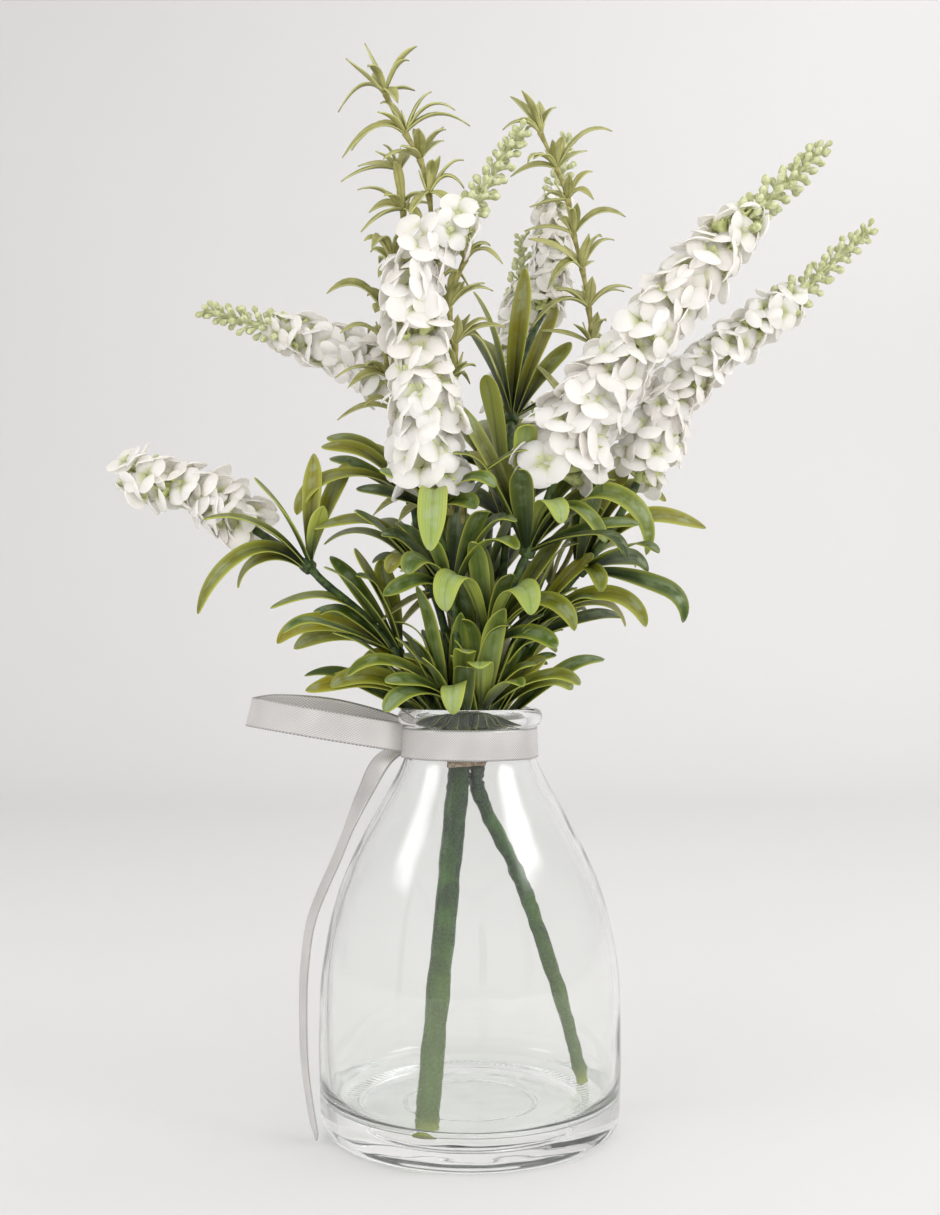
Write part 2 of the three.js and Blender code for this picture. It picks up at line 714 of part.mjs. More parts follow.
// A whorl is a collar pushed on to the branch, with its strap leaves.
function whorl(curve, [height, tips], grow) {
  const t = shareAtHeight(curve, height);
  const centre = curve.getPoint(t);
  const along = curve.getTangent(t);
  const radius = COLLAR_RADIUS + grow;
  const collar = new THREE.CylinderGeometry(radius, radius, COLLAR_HEIGHT + 2 * grow, 6).rotateX(Math.PI / 2);
  collar.applyQuaternion(new THREE.Quaternion().setFromUnitVectors(UP, along));
  collar.translate(...centre.toArray());
  const shared = { centre, along, stemRadius: COLLAR_RADIUS, size: STRAP_LEAF, grow };
  return joined([solidOf(collar), ...tips.map((tip) => leaf({ ...shared, tip }))]);
}
for (const [name, { curve, whorls }] of Object.entries(branches)) {
  whorls.forEach((spec, i) => {
    placeClear(`leaf_whorl_${name}_${whorls.length - i}`, (grow) => whorl(curve, spec, grow), LEAF_GREEN);
  });
}

// The sprigs' leaves come last: they are cut back from everything else, then joined to their stem.
function sprigLeaves({ curve, nodes }, grow) {
  const leaves = nodes.flatMap(([height, tips]) => {
    const t = shareAtHeight(curve, height);
    const centre = curve.getPoint(t);
    const along = curve.getTangent(t);
    const shared = { centre, along, stemRadius: SPRIG_RADIUS, size: SPRIG_LEAF, grow };
    return tips.map((tip) => leaf({ ...shared, tip }));
  });
  return joined(leaves);
}
for (const [name, sprig] of Object.entries(sprigs)) {
  const node = `sprig_${name}`;
  const leaves = cutBack(sprigLeaves(sprig, 0), node);
  place(node, largestBody(sprig.stem.add(leaves)), SPRIG_OLIVE);
  keepOuts.set(node, keepOuts.get(node).add(sprigLeaves(sprig, GAP)));
}

export default part;
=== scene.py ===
# %% [markdown]
# # A white lavender bunch in a glass jar
# This lesson builds the looks of a moulded plastic lavender bush that stands in a clear jar. The solid
# model already exists, so the first step loads it as a fixed frame. Every piece made here lies where its
# solid lies, and stands in for it in the picture. Sizes are in millimetres until a piece is finished.

# %% Load the solid model
import math
import random

import bmesh
import bpy
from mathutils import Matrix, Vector, noise


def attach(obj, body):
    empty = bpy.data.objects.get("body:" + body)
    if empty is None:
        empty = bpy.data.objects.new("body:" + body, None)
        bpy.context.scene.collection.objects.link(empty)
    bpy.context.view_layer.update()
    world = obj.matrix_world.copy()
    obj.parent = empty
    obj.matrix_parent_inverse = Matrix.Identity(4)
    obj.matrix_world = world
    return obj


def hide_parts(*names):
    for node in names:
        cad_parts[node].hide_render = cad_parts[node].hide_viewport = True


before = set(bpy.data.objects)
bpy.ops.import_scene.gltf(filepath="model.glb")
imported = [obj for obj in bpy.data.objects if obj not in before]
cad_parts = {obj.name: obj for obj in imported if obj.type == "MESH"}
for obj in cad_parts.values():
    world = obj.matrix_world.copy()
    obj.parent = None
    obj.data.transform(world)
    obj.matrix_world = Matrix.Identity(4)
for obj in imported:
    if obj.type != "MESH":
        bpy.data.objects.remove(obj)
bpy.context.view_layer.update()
scene = bpy.context.scene
MM = 0.001
UP = Vector((0, 0, 1))

# %% [markdown]
# ## The camera
# The photograph is taken from a little above the jar's mouth, looking very slightly up. The frame is
# upright, 940 by 1215, so the lens is tied to the height of the picture.

# %% Set up the camera
CAMERA_PLACE = Vector((0.0, -456.8, 155.9))
CAMERA_TILT = math.radians(92.0)
LENS = 40.0
SENSOR = 36.0
NEAREST = 0.01

camera_data = bpy.data.cameras.new("photo_camera")
camera_data.sensor_fit = "VERTICAL"
camera_data.sensor_height = SENSOR
camera_data.lens = LENS
camera_data.clip_start = NEAREST
camera = bpy.data.objects.new("photo_camera", camera_data)
camera.location = CAMERA_PLACE * MM
camera.rotation_euler = (CAMERA_TILT, 0, 0)
scene.collection.objects.link(camera)
scene.camera = camera
print("camera at", tuple(round(c, 4) for c in camera.location))

# %% [markdown]
# ## Nodes in short
# A finish is a Principled surface with colour, roughness and bump from nodes. The first class below adds
# a node and wires its inputs in one call, for materials and for node groups. The second is a material
# whose colour is laid on coat by coat, so each recipe reads from top to bottom like a painter's.


# %% Short calls for node trees
class Nodes:
    """A node tree, with a short call for each kind of step."""

    def __init__(self, tree):
        self.tree = tree

    def feed(self, source, socket):
        """Wires a socket to another one, or sets it where source is a plain value."""
        if isinstance(source, bpy.types.NodeSocket):
            self.tree.links.new(source, socket)
        else:
            socket.default_value = source

    def add(self, kind, *sources, **settings):
        """Adds a node, sets its properties, and gives its first inputs the sources in order."""
        node = self.tree.nodes.new("ShaderNode" + kind)
        for key, value in settings.items():
            setattr(node, key, value)
        for socket, source in zip(node.inputs, sources):
            self.feed(source, socket)
        return node

    def calc(self, operation, *sources):
        """The result of one Math node."""
        return self.add("Math", *sources, operation=operation).outputs[0]

    def times(self, product, *sources):
        """Several values multiplied."""
        for source in sources:
            product = self.calc("MULTIPLY", product, source)
        return product

    def off_centre(self, source):
        """How far a value that runs from 0 to 1 is from its middle."""
        return self.calc("ABSOLUTE", self.calc("SUBTRACT", source, 0.5))

    def ramp(self, source, start, end, low=0.0, high=1.0):
        """A value that goes softly from low to high while source goes from start to end."""
        node = self.add("MapRange", source, start, end, low, high, interpolation_type="SMOOTHSTEP")
        return node.outputs[0]

    def blend(self, share, first, second):
        """A colour between first and second."""
        node = self.add("Mix", data_type="RGBA")
        for place, source in ((0, share), (6, first), (7, second)):
            self.feed(source, node.inputs[place])
        return node.outputs[2]

    def spot(self):
        """The place on the piece, in metres."""
        return self.add("TexCoord").outputs["Object"]

    def blade_map(self):
        """The piece's own map: across and along each strip."""
        return self.add("UVMap", uv_map="blade").outputs[0]

    def parts(self, source):
        """The three numbers of a place."""
        return list(self.add("SeparateXYZ", source).outputs)

    def clouds(self, scale, detail=3.0, roughness=0.5):
        """Cloudy noise from 0 to 1."""
        node = self.add("TexNoise", self.spot())
        for label, value in (("Scale", scale), ("Detail", detail), ("Roughness", roughness)):
            self.feed(value, node.inputs[label])
        return node.outputs[0]

    def speckle(self, size, detail=3.0):
        """Clouds with blotches of about size millimetres."""
        return self.clouds(1.0 / (size * MM), detail, 0.55)

    def group(self, nodes, *sources):
        """Places a node group, feeds its inputs in order, and gives its outputs."""
        return list(self.add("Group", *sources, node_tree=nodes.tree).outputs)


# %% A finish
class Finish(Nodes):
    """A Principled material. Its colour starts as one paint and gets more coats."""

    def __init__(self, name, paint, **settings):
        self.material = bpy.data.materials.new(name)
        self.material.use_nodes = True
        super().__init__(self.material.node_tree)
        self.surface = self.tree.nodes["Principled BSDF"]
        self.body = paint
        self.surface.inputs["Base Color"].default_value = paint
        for key, value in settings.items():
            label = key.replace("_", " ").title().replace("Ior", "IOR")
            self.surface.inputs[label].default_value = value

    def tone(self):
        """The value that each blade carries, to tell it from its neighbours."""
        return self.add("Attribute", attribute_name="tone").outputs["Fac"]

    def coat(self, paint, *shares):
        """Lays a paint over the colour so far, as thick as the shares multiplied."""
        self.body = self.blend(self.times(*shares), self.body, paint)
        self.feed(self.body, self.surface.inputs["Base Color"])

    def polish(self, source, low, high, start=0.3, end=0.7):
        """Roughness from low to high."""
        self.feed(self.ramp(source, start, end, low, high), self.surface.inputs["Roughness"])

    def raise_surface(self, height, strength, distance):
        """Bump from a height map, distance in millimetres."""
        node = self.add("Bump")
        for label, value in (("Strength", strength), ("Distance", distance * MM), ("Height", height)):
            self.feed(value, node.inputs[label])
        self.feed(node.outputs[0], self.surface.inputs["Normal"])

    def mix_in(self, share, kind, paint):
        """Mixes a share of another surface with the Principled one."""
        other = self.add(kind, paint).outputs[0]
        mixed = self.add("MixShader", share, self.surface.outputs[0], other)
        self.feed(mixed.outputs[0], self.tree.nodes["Material Output"].inputs["Surface"])


def colour(red, green, blue):
    """A colour given as it looks on a screen, from 0 to 255."""
    linear = [((c / 255 + 0.055) / 1.055) ** 2.4 if c > 10 else c / 255 / 12.92 for c in (red, green, blue)]
    return (*linear, 1.0)


def new_group(name, outputs, inputs=()):
    """An empty node group, and its sockets for the named values that come in and go out."""
    tree = bpy.data.node_groups.new(name, "ShaderNodeTree")
    for way, labels in (("INPUT", inputs), ("OUTPUT", outputs)):
        for label in labels:
            tree.interface.new_socket(label, in_out=way, socket_type="NodeSocketFloat")
    return Nodes(tree), tree.nodes.new("NodeGroupInput").outputs, tree.nodes.new("NodeGroupOutput").inputs


# %% [markdown]
# ## Two effects that many finishes share
# Every blade, from the widest leaf to the smallest petal, is a flat strip whose map runs from 0 to 1
# across and along. So one group reads the map and gives the edge, the middle rib and the place along
# the blade. A second group gives moulded plastic its slow colour drift and its fine grain.

# %% Group for marks on a blade
blade_marks, _, marks_out = new_group("blade_marks", ("Edge", "Rib", "Along", "Across"))
across, along, _ = blade_marks.parts(blade_marks.blade_map())
from_rib = blade_marks.off_centre(across)
blade_marks.feed(blade_marks.ramp(from_rib, 0.43, 0.49), marks_out["Edge"])
blade_marks.feed(blade_marks.ramp(from_rib, 0.02, 0.12, 1.0, 0.0), marks_out["Rib"])
blade_marks.feed(along, marks_out["Along"])
blade_marks.feed(from_rib, marks_out["Across"])

# %% Group for moulded plastic
moulded, moulded_in, moulded_out = new_group("moulded", ("Drift", "Grain"), ("Coarse", "Fine"))
for scale, label in (("Coarse", "Drift"), ("Fine", "Grain")):
    moulded.feed(moulded.clouds(moulded_in[scale]), moulded_out[label])
print("groups:", [g.name for g in bpy.data.node_groups])

# %% [markdown]
# ## Leaf plastic
# The strap leaves are soft green plastic with a satin skin. Near the stem they are painted darker, as
# shade that falls in the channel, and they get lighter along the blade, with a pale margin where the plastic
# is thinnest, fine veins, a dark line along the rib that is partly painted shade in its groove, and a milky
# painted highlight beside it. The underside is a paler yellow green. A value named tone on each leaf says
# how it differs: below 0 it is darker, which on the filler leaves is painted shade in the heart of the
# bunch, up to 1 it turns golden, and towards 2 it is one of the pale leaves that catch the light.

# %% Leaf finishes
LEAF_SHADE_AND_VEIN = colour(17, 32, 12)
LEAF_GREEN = colour(92, 116, 38)
LEAF_GOLD = colour(150, 140, 26)
LEAF_RIM = colour(186, 192, 82)
LEAF_PAINTED_HIGHLIGHT = colour(172, 184, 148)
LEAF_PALE = colour(156, 176, 92)
LEAF_UNDER = colour(118, 138, 62)
LEAF_UNDER_SHADE_AND_VEIN = colour(34, 50, 20)
VEINS = 62.0


def leaf_finish(name, shade_and_vein, green, gold, highlight_share):
    """Leaf plastic from its colours: painted shade near the stem, then green, and gold by the leaf's tone.
    """
    leaf = Finish(name, shade_and_vein)
    edge, rib, along, across = leaf.group(blade_marks)
    drift, grain = leaf.group(moulded, 180.0, 1600.0)
    tone = leaf.tone()
    # Painted shade: the leaf keeps its dark shade colour near the stem and turns green along the blade, with
    # a random drift.
    leaf.coat(green, leaf.calc("ADD", leaf.ramp(along, 0.1, 0.75), leaf.calc("SUBTRACT", drift, 0.5)))
    leaf.coat(gold, leaf.calc("MAXIMUM", tone, 0.0), leaf.ramp(along, 0.05, 0.7))
    leaf.coat(LEAF_PALE, leaf.ramp(tone, 1.0, 2.0), leaf.ramp(along, 0.1, 0.6))
    leaf.coat(LEAF_RIM, leaf.ramp(across, 0.22, 0.48), leaf.ramp(along, 0.1, 0.5), 0.55)
    veins = leaf.ramp(leaf.calc("SINE", leaf.times(across, VEINS)), 0.0, 1.0)
    leaf.coat(shade_and_vein, veins, 0.14)
    # Below 0 the tone paints a leaf darker: on the filler leaves this is painted shade in the heart of the
    # bunch, on the others a random darker tone.
    leaf.coat(shade_and_vein, leaf.ramp(tone, -0.6, 0.0, 0.7, 0.0))
    # A dark line along the rib: partly the rib's own colour, partly painted shade in its groove, strongest
    # near the stem.
    leaf.coat(shade_and_vein, rib, leaf.ramp(along, 0.0, 0.8, 0.7, 0.15))
    # Painted highlight: a milky band beside the rib, in patches, towards the tip.
    highlight_band = leaf.ramp(across, 0.1, 0.42, 1.0, 0.0)
    leaf.coat(LEAF_PAINTED_HIGHLIGHT, highlight_band, leaf.ramp(drift, 0.42, 0.62), leaf.ramp(along, 0.3, 0.9), highlight_share)
    leaf.coat(LEAF_RIM, edge, 0.5)
    leaf.polish(drift, 0.3, 0.46)
    height = leaf.calc("SUBTRACT", leaf.times(rib, -1.0), leaf.times(veins, 0.3))
    leaf.raise_surface(leaf.calc("ADD", height, leaf.times(grain, 0.5)), 0.45, 0.3)
    leaf.mix_in(0.14, "BsdfTranslucent", leaf.blend(0.4, leaf.body, LEAF_RIM))
    return leaf


leaf_top = leaf_finish("leaf_top", LEAF_SHADE_AND_VEIN, LEAF_GREEN, LEAF_GOLD, 0.5)
leaf_under = leaf_finish("leaf_underside", LEAF_UNDER_SHADE_AND_VEIN, LEAF_UNDER, LEAF_RIM, 0.3)

# %% [markdown]
# ## Stem, branch, sprig and bud plastic
# The two stems that stand in the jar are wire under knobbly green plastic, darker at the tie, painted
# paler lower down as a reflection seen through the glass, and with yellow green ends where they were cut.
# The branch stems are darker. Sprigs are olive with paler rims, and the buds are a pale yellow green. All
# of them share one recipe.


# %% Rod finishes
def rod_finish(name, dark, light, roughness, bump, blotch=2.5):
    """Moulded plastic that drifts between two colours, in blotches given in millimetres."""
    rod_plastic = Finish(name, dark)
    drift, grain = rod_plastic.group(moulded, 1.0 / (blotch * MM), 1500.0)
    rod_plastic.coat(light, rod_plastic.ramp(drift, 0.35, 0.65))
    rod_plastic.polish(grain, roughness - 0.08, roughness + 0.1)
    rod_plastic.raise_surface(grain, bump, 0.3)
    return rod_plastic


branch_plastic = rod_finish("branch_plastic", colour(30, 46, 22), colour(74, 94, 40), 0.45, 0.4)
sprig_rod = rod_finish("sprig_rod", colour(126, 120, 58), colour(164, 156, 96), 0.5, 0.4)
bud_plastic = rod_finish("bud_plastic", colour(170, 176, 122), colour(206, 208, 168), 0.5, 0.35, 1.5)
calyx_plastic = rod_finish("calyx_plastic", colour(186, 196, 120), colour(214, 218, 160), 0.5, 0.3, 2.0)
stem = rod_finish("stem_plastic", colour(34, 56, 24), colour(60, 92, 36), 0.26, 0.7, 8.0)
height = stem.parts(stem.spot())[2]
# Painted reflection: the stem is paler lower down, as seen through the glass.
stem.coat(colour(106, 120, 78), stem.ramp(height, 0.02, 0.09, 0.75, 0.0))
stem.coat(colour(160, 168, 88), stem.ramp(height, 0.009, 0.017, 0.8, 0.0))
stem.coat(colour(40, 56, 30), stem.ramp(height, 0.095, 0.12, 0.0, 0.75))

# %% Sprig leaf finish
sprig_leaf = Finish("sprig_leaf", colour(122, 122, 62), roughness=0.45)
edge, rib, _, _ = sprig_leaf.group(blade_marks)
drift, grain = sprig_leaf.group(moulded, 220.0, 1500.0)
sprig_leaf.coat(colour(162, 160, 100), sprig_leaf.ramp(drift, 0.3, 0.7))
sprig_leaf.coat(colour(196, 190, 124), sprig_leaf.tone())
sprig_leaf.coat(colour(86, 92, 36), rib, 0.35)
sprig_leaf.coat(colour(192, 196, 132), edge, 0.6)
sprig_leaf.raise_surface(sprig_leaf.calc("SUBTRACT", grain, rib), 0.4, 0.25)

# %% [markdown]
# ## Petal plastic
# The petals are thin white plastic that lets light through, so more than half of the surface is
# translucent. They are green where they leave the calyx, with faint ribs that fan out to the rim.

# %% Petal finish
white = Finish("petal", colour(252, 249, 247))
_, _, along, _ = white.group(blade_marks)
drift, grain = white.group(moulded, 260.0, 1400.0)
white.coat(colour(255, 254, 254), white.tone())
white.coat(colour(246, 244, 238), white.ramp(drift, 0.35, 0.75, 0.0, 0.15))
white.coat(colour(206, 212, 146), white.ramp(along, 0.0, 0.3, 0.85, 0.0))
waves = white.add("TexWave", white.blade_map(), wave_type="BANDS")
waves.inputs["Scale"].default_value = 2.2
waves.inputs["Distortion"].default_value = 0.6
ribs = waves.outputs[1]
white.coat(colour(224, 224, 210), ribs, 0.03)
white.polish(grain, 0.42, 0.6)
white.raise_surface(white.calc("ADD", ribs, grain), 0.12, 0.15)
white.mix_in(0.56, "BsdfTranslucent", white.blend(0.6, white.body, colour(255, 253, 248)))

# %% [markdown]
# ## Glass
# The jar is clear glass with a faint green cast and a slightly wavy skin. Light from the lamps has to
# reach the stems inside, so for shadow rays the surface is simply see-through. Rays that have already
# been bent many times also go straight on, little by little, which keeps the thick base from turning
# black. The small ridges that a jar has round its foot are a bump on the underside's outer ring.

# %% Glass finish
RIDGES = 110.0
glass = Finish("clear_glass", (0.985, 0.992, 0.985, 1.0), ior=1.5, transmission_weight=1.0)
glass.polish(glass.speckle(14.0), 0.0, 0.03, 0.35, 0.8)
x, y, z = glass.parts(glass.spot())
reach = glass.calc("SQRT", glass.calc("ADD", glass.calc("POWER", x, 2.0), glass.calc("POWER", y, 2.0)))
ridges = glass.calc("SINE", glass.times(glass.calc("ARCTAN2", y, x), RIDGES))
ring = glass.times(glass.ramp(reach, 0.0385, 0.0395), glass.ramp(reach, 0.043, 0.044, 1.0, 0.0),
                   glass.ramp(z, 0.001, 0.0015, 1.0, 0.0))
glass.raise_surface(glass.calc("ADD", glass.speckle(20.0, 1.0), glass.times(ring, 0.35, ridges)), 0.3, 1.0)
ray = glass.add("LightPath").outputs
straight = glass.calc("MAXIMUM", ray["Is Shadow Ray"], glass.ramp(ray["Ray Depth"], 3.6, 7.8))
glass.mix_in(straight, "BsdfTransparent", (0.95, 0.96, 0.95, 1.0))

# %% [markdown]
# ## Satin and tape
# The ribbon is satin 10 mm wide. Its threads float over each other in a fine net that the light picks
# out, and each edge is a woven selvedge with small loops. Its map is in ribbon widths, so the weave keeps
# its size along the whole length. Slow patches of painted shade from clouds stand in for the shade of
# soft folds. The stems are bound with tan paper tape.

# %% Satin finish
THREADS = 75.0
satin = Finish("satin", colour(240, 237, 235), metallic=0.5, sheen_weight=0.35, anisotropic=0.5)
across, along, _ = satin.parts(satin.blade_map())
floats = [satin.calc("SINE", satin.times(way, THREADS)) for way in (across, along)]
weave = satin.ramp(satin.times(*floats), -0.6, 0.6)
selvedge = satin.ramp(satin.off_centre(across), 0.435, 0.45)
loops = satin.ramp(floats[1], -0.2, 0.9)
satin.coat(colour(206, 203, 201), weave, 0.35)
# Painted shade in slow patches, for the shade of soft folds.
satin.coat(colour(192, 189, 187), satin.ramp(satin.speckle(16.0, 1.0), 0.35, 0.65, 0.0, 0.35))
satin.coat(colour(160, 157, 155), selvedge, 0.7)
satin.coat(colour(240, 238, 237), loops, 0.65, selvedge)
satin.polish(weave, 0.2, 0.3, 0.0, 1.0)
satin.raise_surface(satin.calc("ADD", satin.times(weave, 0.5), satin.times(selvedge, loops)), 0.35, 0.12)
satin.mix_in(0.24, "BsdfTranslucent", satin.body)

# %% Tape finish
tape = Finish("tie_tape", colour(150, 122, 96), roughness=0.75)
drift, grain = tape.group(moulded, 900.0, 2600.0)
tape.coat(colour(204, 186, 164), tape.ramp(drift, 0.3, 0.7))
tape.raise_surface(grain, 0.3, 0.15)
print("finishes:", [m.name for m in bpy.data.materials])

# %% [markdown]
# ## Routes
# A stem follows a smooth line through a few points that were read from the photograph. The line is a
# Catmull-Rom curve, as in the solid model, so both follow the same path. A route can also carry a small
# frame along itself without twisting, which is what a rod needs.


# %% The Route class
def turned_to(side, lift, angle):
    """The direction at an angle from side towards lift."""
    return side * math.cos(angle) + lift * math.sin(angle)


def squared(side, ahead):
    """The direction nearest to side that is square to ahead."""
    return (side - ahead * side.dot(ahead)).normalized()


class Route:
    """A smooth line through points, in millimetres. A share of 0 is its start and 1 its end."""

    NEAR = 0.004
    STOPS = 60
    HALVINGS = 40

    def __init__(self, *points):
        inner = [Vector(p) for p in points]
        self.points = [inner[0] * 2 - inner[1], *inner, inner[-1] * 2 - inner[-2]]
        self.spans = len(inner) - 1

    def at(self, share):
        place = min(max(share, 0.0), 1.0) * self.spans
        k = min(int(place), self.spans - 1)
        t = place - k
        a, b, c, d = self.points[k:k + 4]
        line = 2 * b + (c - a) * t
        return 0.5 * (line + (2 * a - 5 * b + 4 * c - d) * t**2 + (3 * b - a - 3 * c + d) * t**3)

    def heading(self, share):
        return (self.at(min(share + self.NEAR, 1)) - self.at(max(share - self.NEAR, 0))).normalized()

    def length(self, start=0.0, end=1.0):
        stops = [self.at(start + (end - start) * k / self.STOPS) for k in range(self.STOPS + 1)]
        return sum((b - a).length for a, b in zip(stops, stops[1:]))

    def share_at_height(self, height):
        low, high = 0.0, 1.0
        for _ in range(self.HALVINGS):
            middle = (low + high) / 2
            if self.at(middle).z < height:
                low = middle
            else:
                high = middle
        return low

    def frames(self, shares):
        """For each share: the point, the heading and two directions square to it, with no twist."""
        made = []
        side = self.heading(shares[0]).cross(Vector((0.0, 1.0, 0.05))).normalized()
        for share in shares:
            ahead = self.heading(share)
            side = squared(side, ahead)
            made.append((self.at(share), ahead, side, ahead.cross(side)))
        return made


# %% [markdown]
# ## Bending a flat grid
# Leaves, petals, ribbon and even rods start as a flat grid. A function says where each point of the grid
# goes, and the grid's own places from 0 to 1 become the map that the finishes read. A rod is a grid
# rolled up, whose meeting edges and end rows are then merged.


# %% Helpers for meshes
def new_mesh():
    """An empty bmesh with the map and the tone that the finishes read."""
    made = bmesh.new()
    made.loops.layers.uv.new("blade")
    made.verts.layers.float.new("tone")
    return made


def bend_grid(mesh, across, along, place, tone=0.5, finish=0, scale=(1.0, 1.0), weld=False):
    """Adds a flat grid and moves each point to place(u, v). u runs across and v along, from 0 to 1."""
    points = bmesh.ops.create_grid(mesh, x_segments=across, y_segments=along, size=0.5)["verts"]
    uv = mesh.loops.layers.uv["blade"]
    tones = mesh.verts.layers.float["tone"]
    shares = {point: (point.co.x + 0.5, point.co.y + 0.5) for point in points}
    for face in {f for point in points for f in point.link_faces}:
        face.material_index = finish
        face.smooth = True
        for corner in face.loops:
            u, v = shares[corner.vert]
            corner[uv].uv = (u * scale[0], v * scale[1])
    for point, (u, v) in shares.items():
        point[tones] = tone
        point.co = place(u, v)
    if weld:
        bmesh.ops.remove_doubles(mesh, verts=points, dist=1e-4)


def rod(mesh, route, start, end, radius, sides=12, pitch=3.0, finish=0):
    """A closed rod along a route, with rounded ends. radius(share of the rod, angle) is in millimetres."""
    count = max(4, round(route.length(start, end) / pitch))
    rows = [(0.0, 0.0), (0.0, 0.8), (0.25 / count, 1.0)]
    rows += [(k / count, 1.0) for k in range(1, count)]
    rows += [(1.0 - 0.25 / count, 1.0), (1.0, 0.8), (1.0, 0.0)]
    frames = route.frames([start + (end - start) * share for share, _ in rows])

    def place(u, v):
        k = round(v * (len(rows) - 1))
        centre, _, side, lift = frames[k]
        angle = 2 * math.pi * (u % 1.0)
        return centre + turned_to(side, lift, angle) * (radius(rows[k][0], angle) * rows[k][1])

    bend_grid(mesh, sides, len(rows) - 1, place, finish=finish, weld=True)


def turned(mesh, foot, axis, profile, sides, tone=0.5, finish=0):
    """A turned shape on an axis: profile gives (distance along, radius) from its foot to its top."""
    side = axis.orthogonal().normalized()
    lift = axis.cross(side)

    def place(u, v):
        out, reach = profile[round(v * (len(profile) - 1))]
        return foot + axis * out + turned_to(side, lift, 2 * math.pi * (u % 1.0)) * reach

    bend_grid(mesh, sides, len(profile) - 1, place, tone, finish, weld=True)


def to_object(name, mesh, finishes):
    """Makes an object from a bmesh and its finishes, and adds it to the scene."""
    data = bpy.data.meshes.new(name)
    mesh.to_mesh(data)
    mesh.free()
    for finish in finishes:
        data.materials.append(finish.material)
    made = bpy.data.objects.new(name, data)
    scene.collection.objects.link(made)
    return made


# %% Walls for thin pieces
CRISP = math.radians(50)


def thicken(mesh, finishes, thickness, rounding=0, crisp=False):
    """Gives open blades their thickness. The underside and the rim take the next finish, if there is one."""
    flat = to_object("flat", mesh, finishes)
    wall = flat.modifiers.new("wall", "SOLIDIFY")
    wall.thickness = thickness
    wall.offset = 0.0
    wall.material_offset = len(finishes) - 1
    wall.material_offset_rim = len(finishes) - 1
    if rounding:
        smooth = flat.modifiers.new("smooth", "SUBSURF")
        smooth.levels = rounding
        smooth.render_levels = rounding
    made = bmesh.new()
    made.from_object(flat, bpy.context.evaluated_depsgraph_get())
    data = flat.data
    bpy.data.objects.remove(flat)
    bpy.data.meshes.remove(data)
    if crisp:
        for edge in made.edges:
            edge.smooth = edge.calc_face_angle(0.0) < CRISP
    return made


# %% Finishing a piece
totals = {"pieces": 0, "faces": 0}


def finish_piece(name, mesh, finishes, slot, *nodes):
    """Turns a bmesh in millimetres into a finished piece that stands in for its solids."""
    bmesh.ops.scale(mesh, vec=(MM, MM, MM), verts=mesh.verts)
    piece = to_object(name, mesh, finishes)
    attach(piece, "root")
    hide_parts(*nodes)
    totals["pieces"] += 1
    totals["faces"] += len(piece.data.polygons)
    print(name, len(piece.data.polygons), "faces")
    return piece


# %% [markdown]
# ## The glass jar
# A bottle-shaped jar is blown in a mould and is round everywhere, so half of its section is drawn once
# and spun through a full turn. The line starts under the jar and goes up the outside, over the beaded
# rim, down the inside and across the thick base. The underside is pushed up a little in the middle, so
# that the jar stands on a ring.


# %% Draw the jar's section
def section_line(steps, *places):
    """Points on a smooth line through places, each given as its distance from the axis and its height."""
    line = Route(*((reach, 0, height) for reach, height in places))
    return [line.at(k / steps) for k in range(steps + 1)]


section = section_line(40, (0, 2.2), (12, 2.2), (20.5, 2.1), (21.8, 1.5), (23.2, 2.0), (33, 1.7),
                       (36.5, 1.4), (38, 0.8), (39.6, 0.5), (43, 0.05))[:-1]
section += section_line(64, (46.2, 0.0), (48.3, 1.0), (49.4, 3.4), (49.8, 8), (50.2, 21), (50.2, 34),
                        (49.3, 53), (45.3, 73), (39.4, 88.5), (32.6, 101.5), (26.4, 112.5),
                        (22.4, 120.8), (21.8, 126), (21.8, 130.6))
section += section_line(26, (21.8, 130.8), (22.6, 132.0), (23.8, 132.9), (24.3, 134.7), (24.0, 136.7),
                        (22.7, 137.9), (21.2, 138.0), (19.9, 137.3), (19.3, 135.6), (19.3, 131))
section += section_line(70, (19.3, 130), (19.5, 121.6), (24.0, 111.3), (30.2, 100.2), (36.9, 87.4),
                        (42.8, 72.2), (46.8, 52.7), (47.6, 34), (47.5, 21), (46.9, 14.5), (44.6, 11.0),
                        (40.0, 9.7), (34.0, 9.2), (18.0, 9.1), (0, 9.4))

# %% Spin the jar
JAR_STEPS = 144
jar_mesh = new_mesh()
corners = [jar_mesh.verts.new(p) for p in section]
edges = [jar_mesh.edges.new(pair) for pair in zip(corners, corners[1:])]
bmesh.ops.spin(jar_mesh, geom=corners + edges, cent=(0, 0, 0), axis=(0, 0, 1), dvec=(0, 0, 0),
               angle=2 * math.pi, steps=JAR_STEPS, use_merge=True)
bmesh.ops.remove_doubles(jar_mesh, verts=jar_mesh.verts, dist=1e-3)
bmesh.ops.recalc_face_normals(jar_mesh, faces=jar_mesh.faces)
for face in jar_mesh.faces:
    face.smooth = True
finish_piece("glass_jar_clear", jar_mesh, [glass], "clear_glass", "glass_jar", "glass_jar_top")

# %% [markdown]
# ## Stems in the jar
# Two rods reach down into the jar. They are wire with plastic pressed round it, so they are not quite
# round and not quite straight: slow bumps from noise and a few rings where the mould closed give that.
# The main stem ends in a wide head, from which the branches leave.

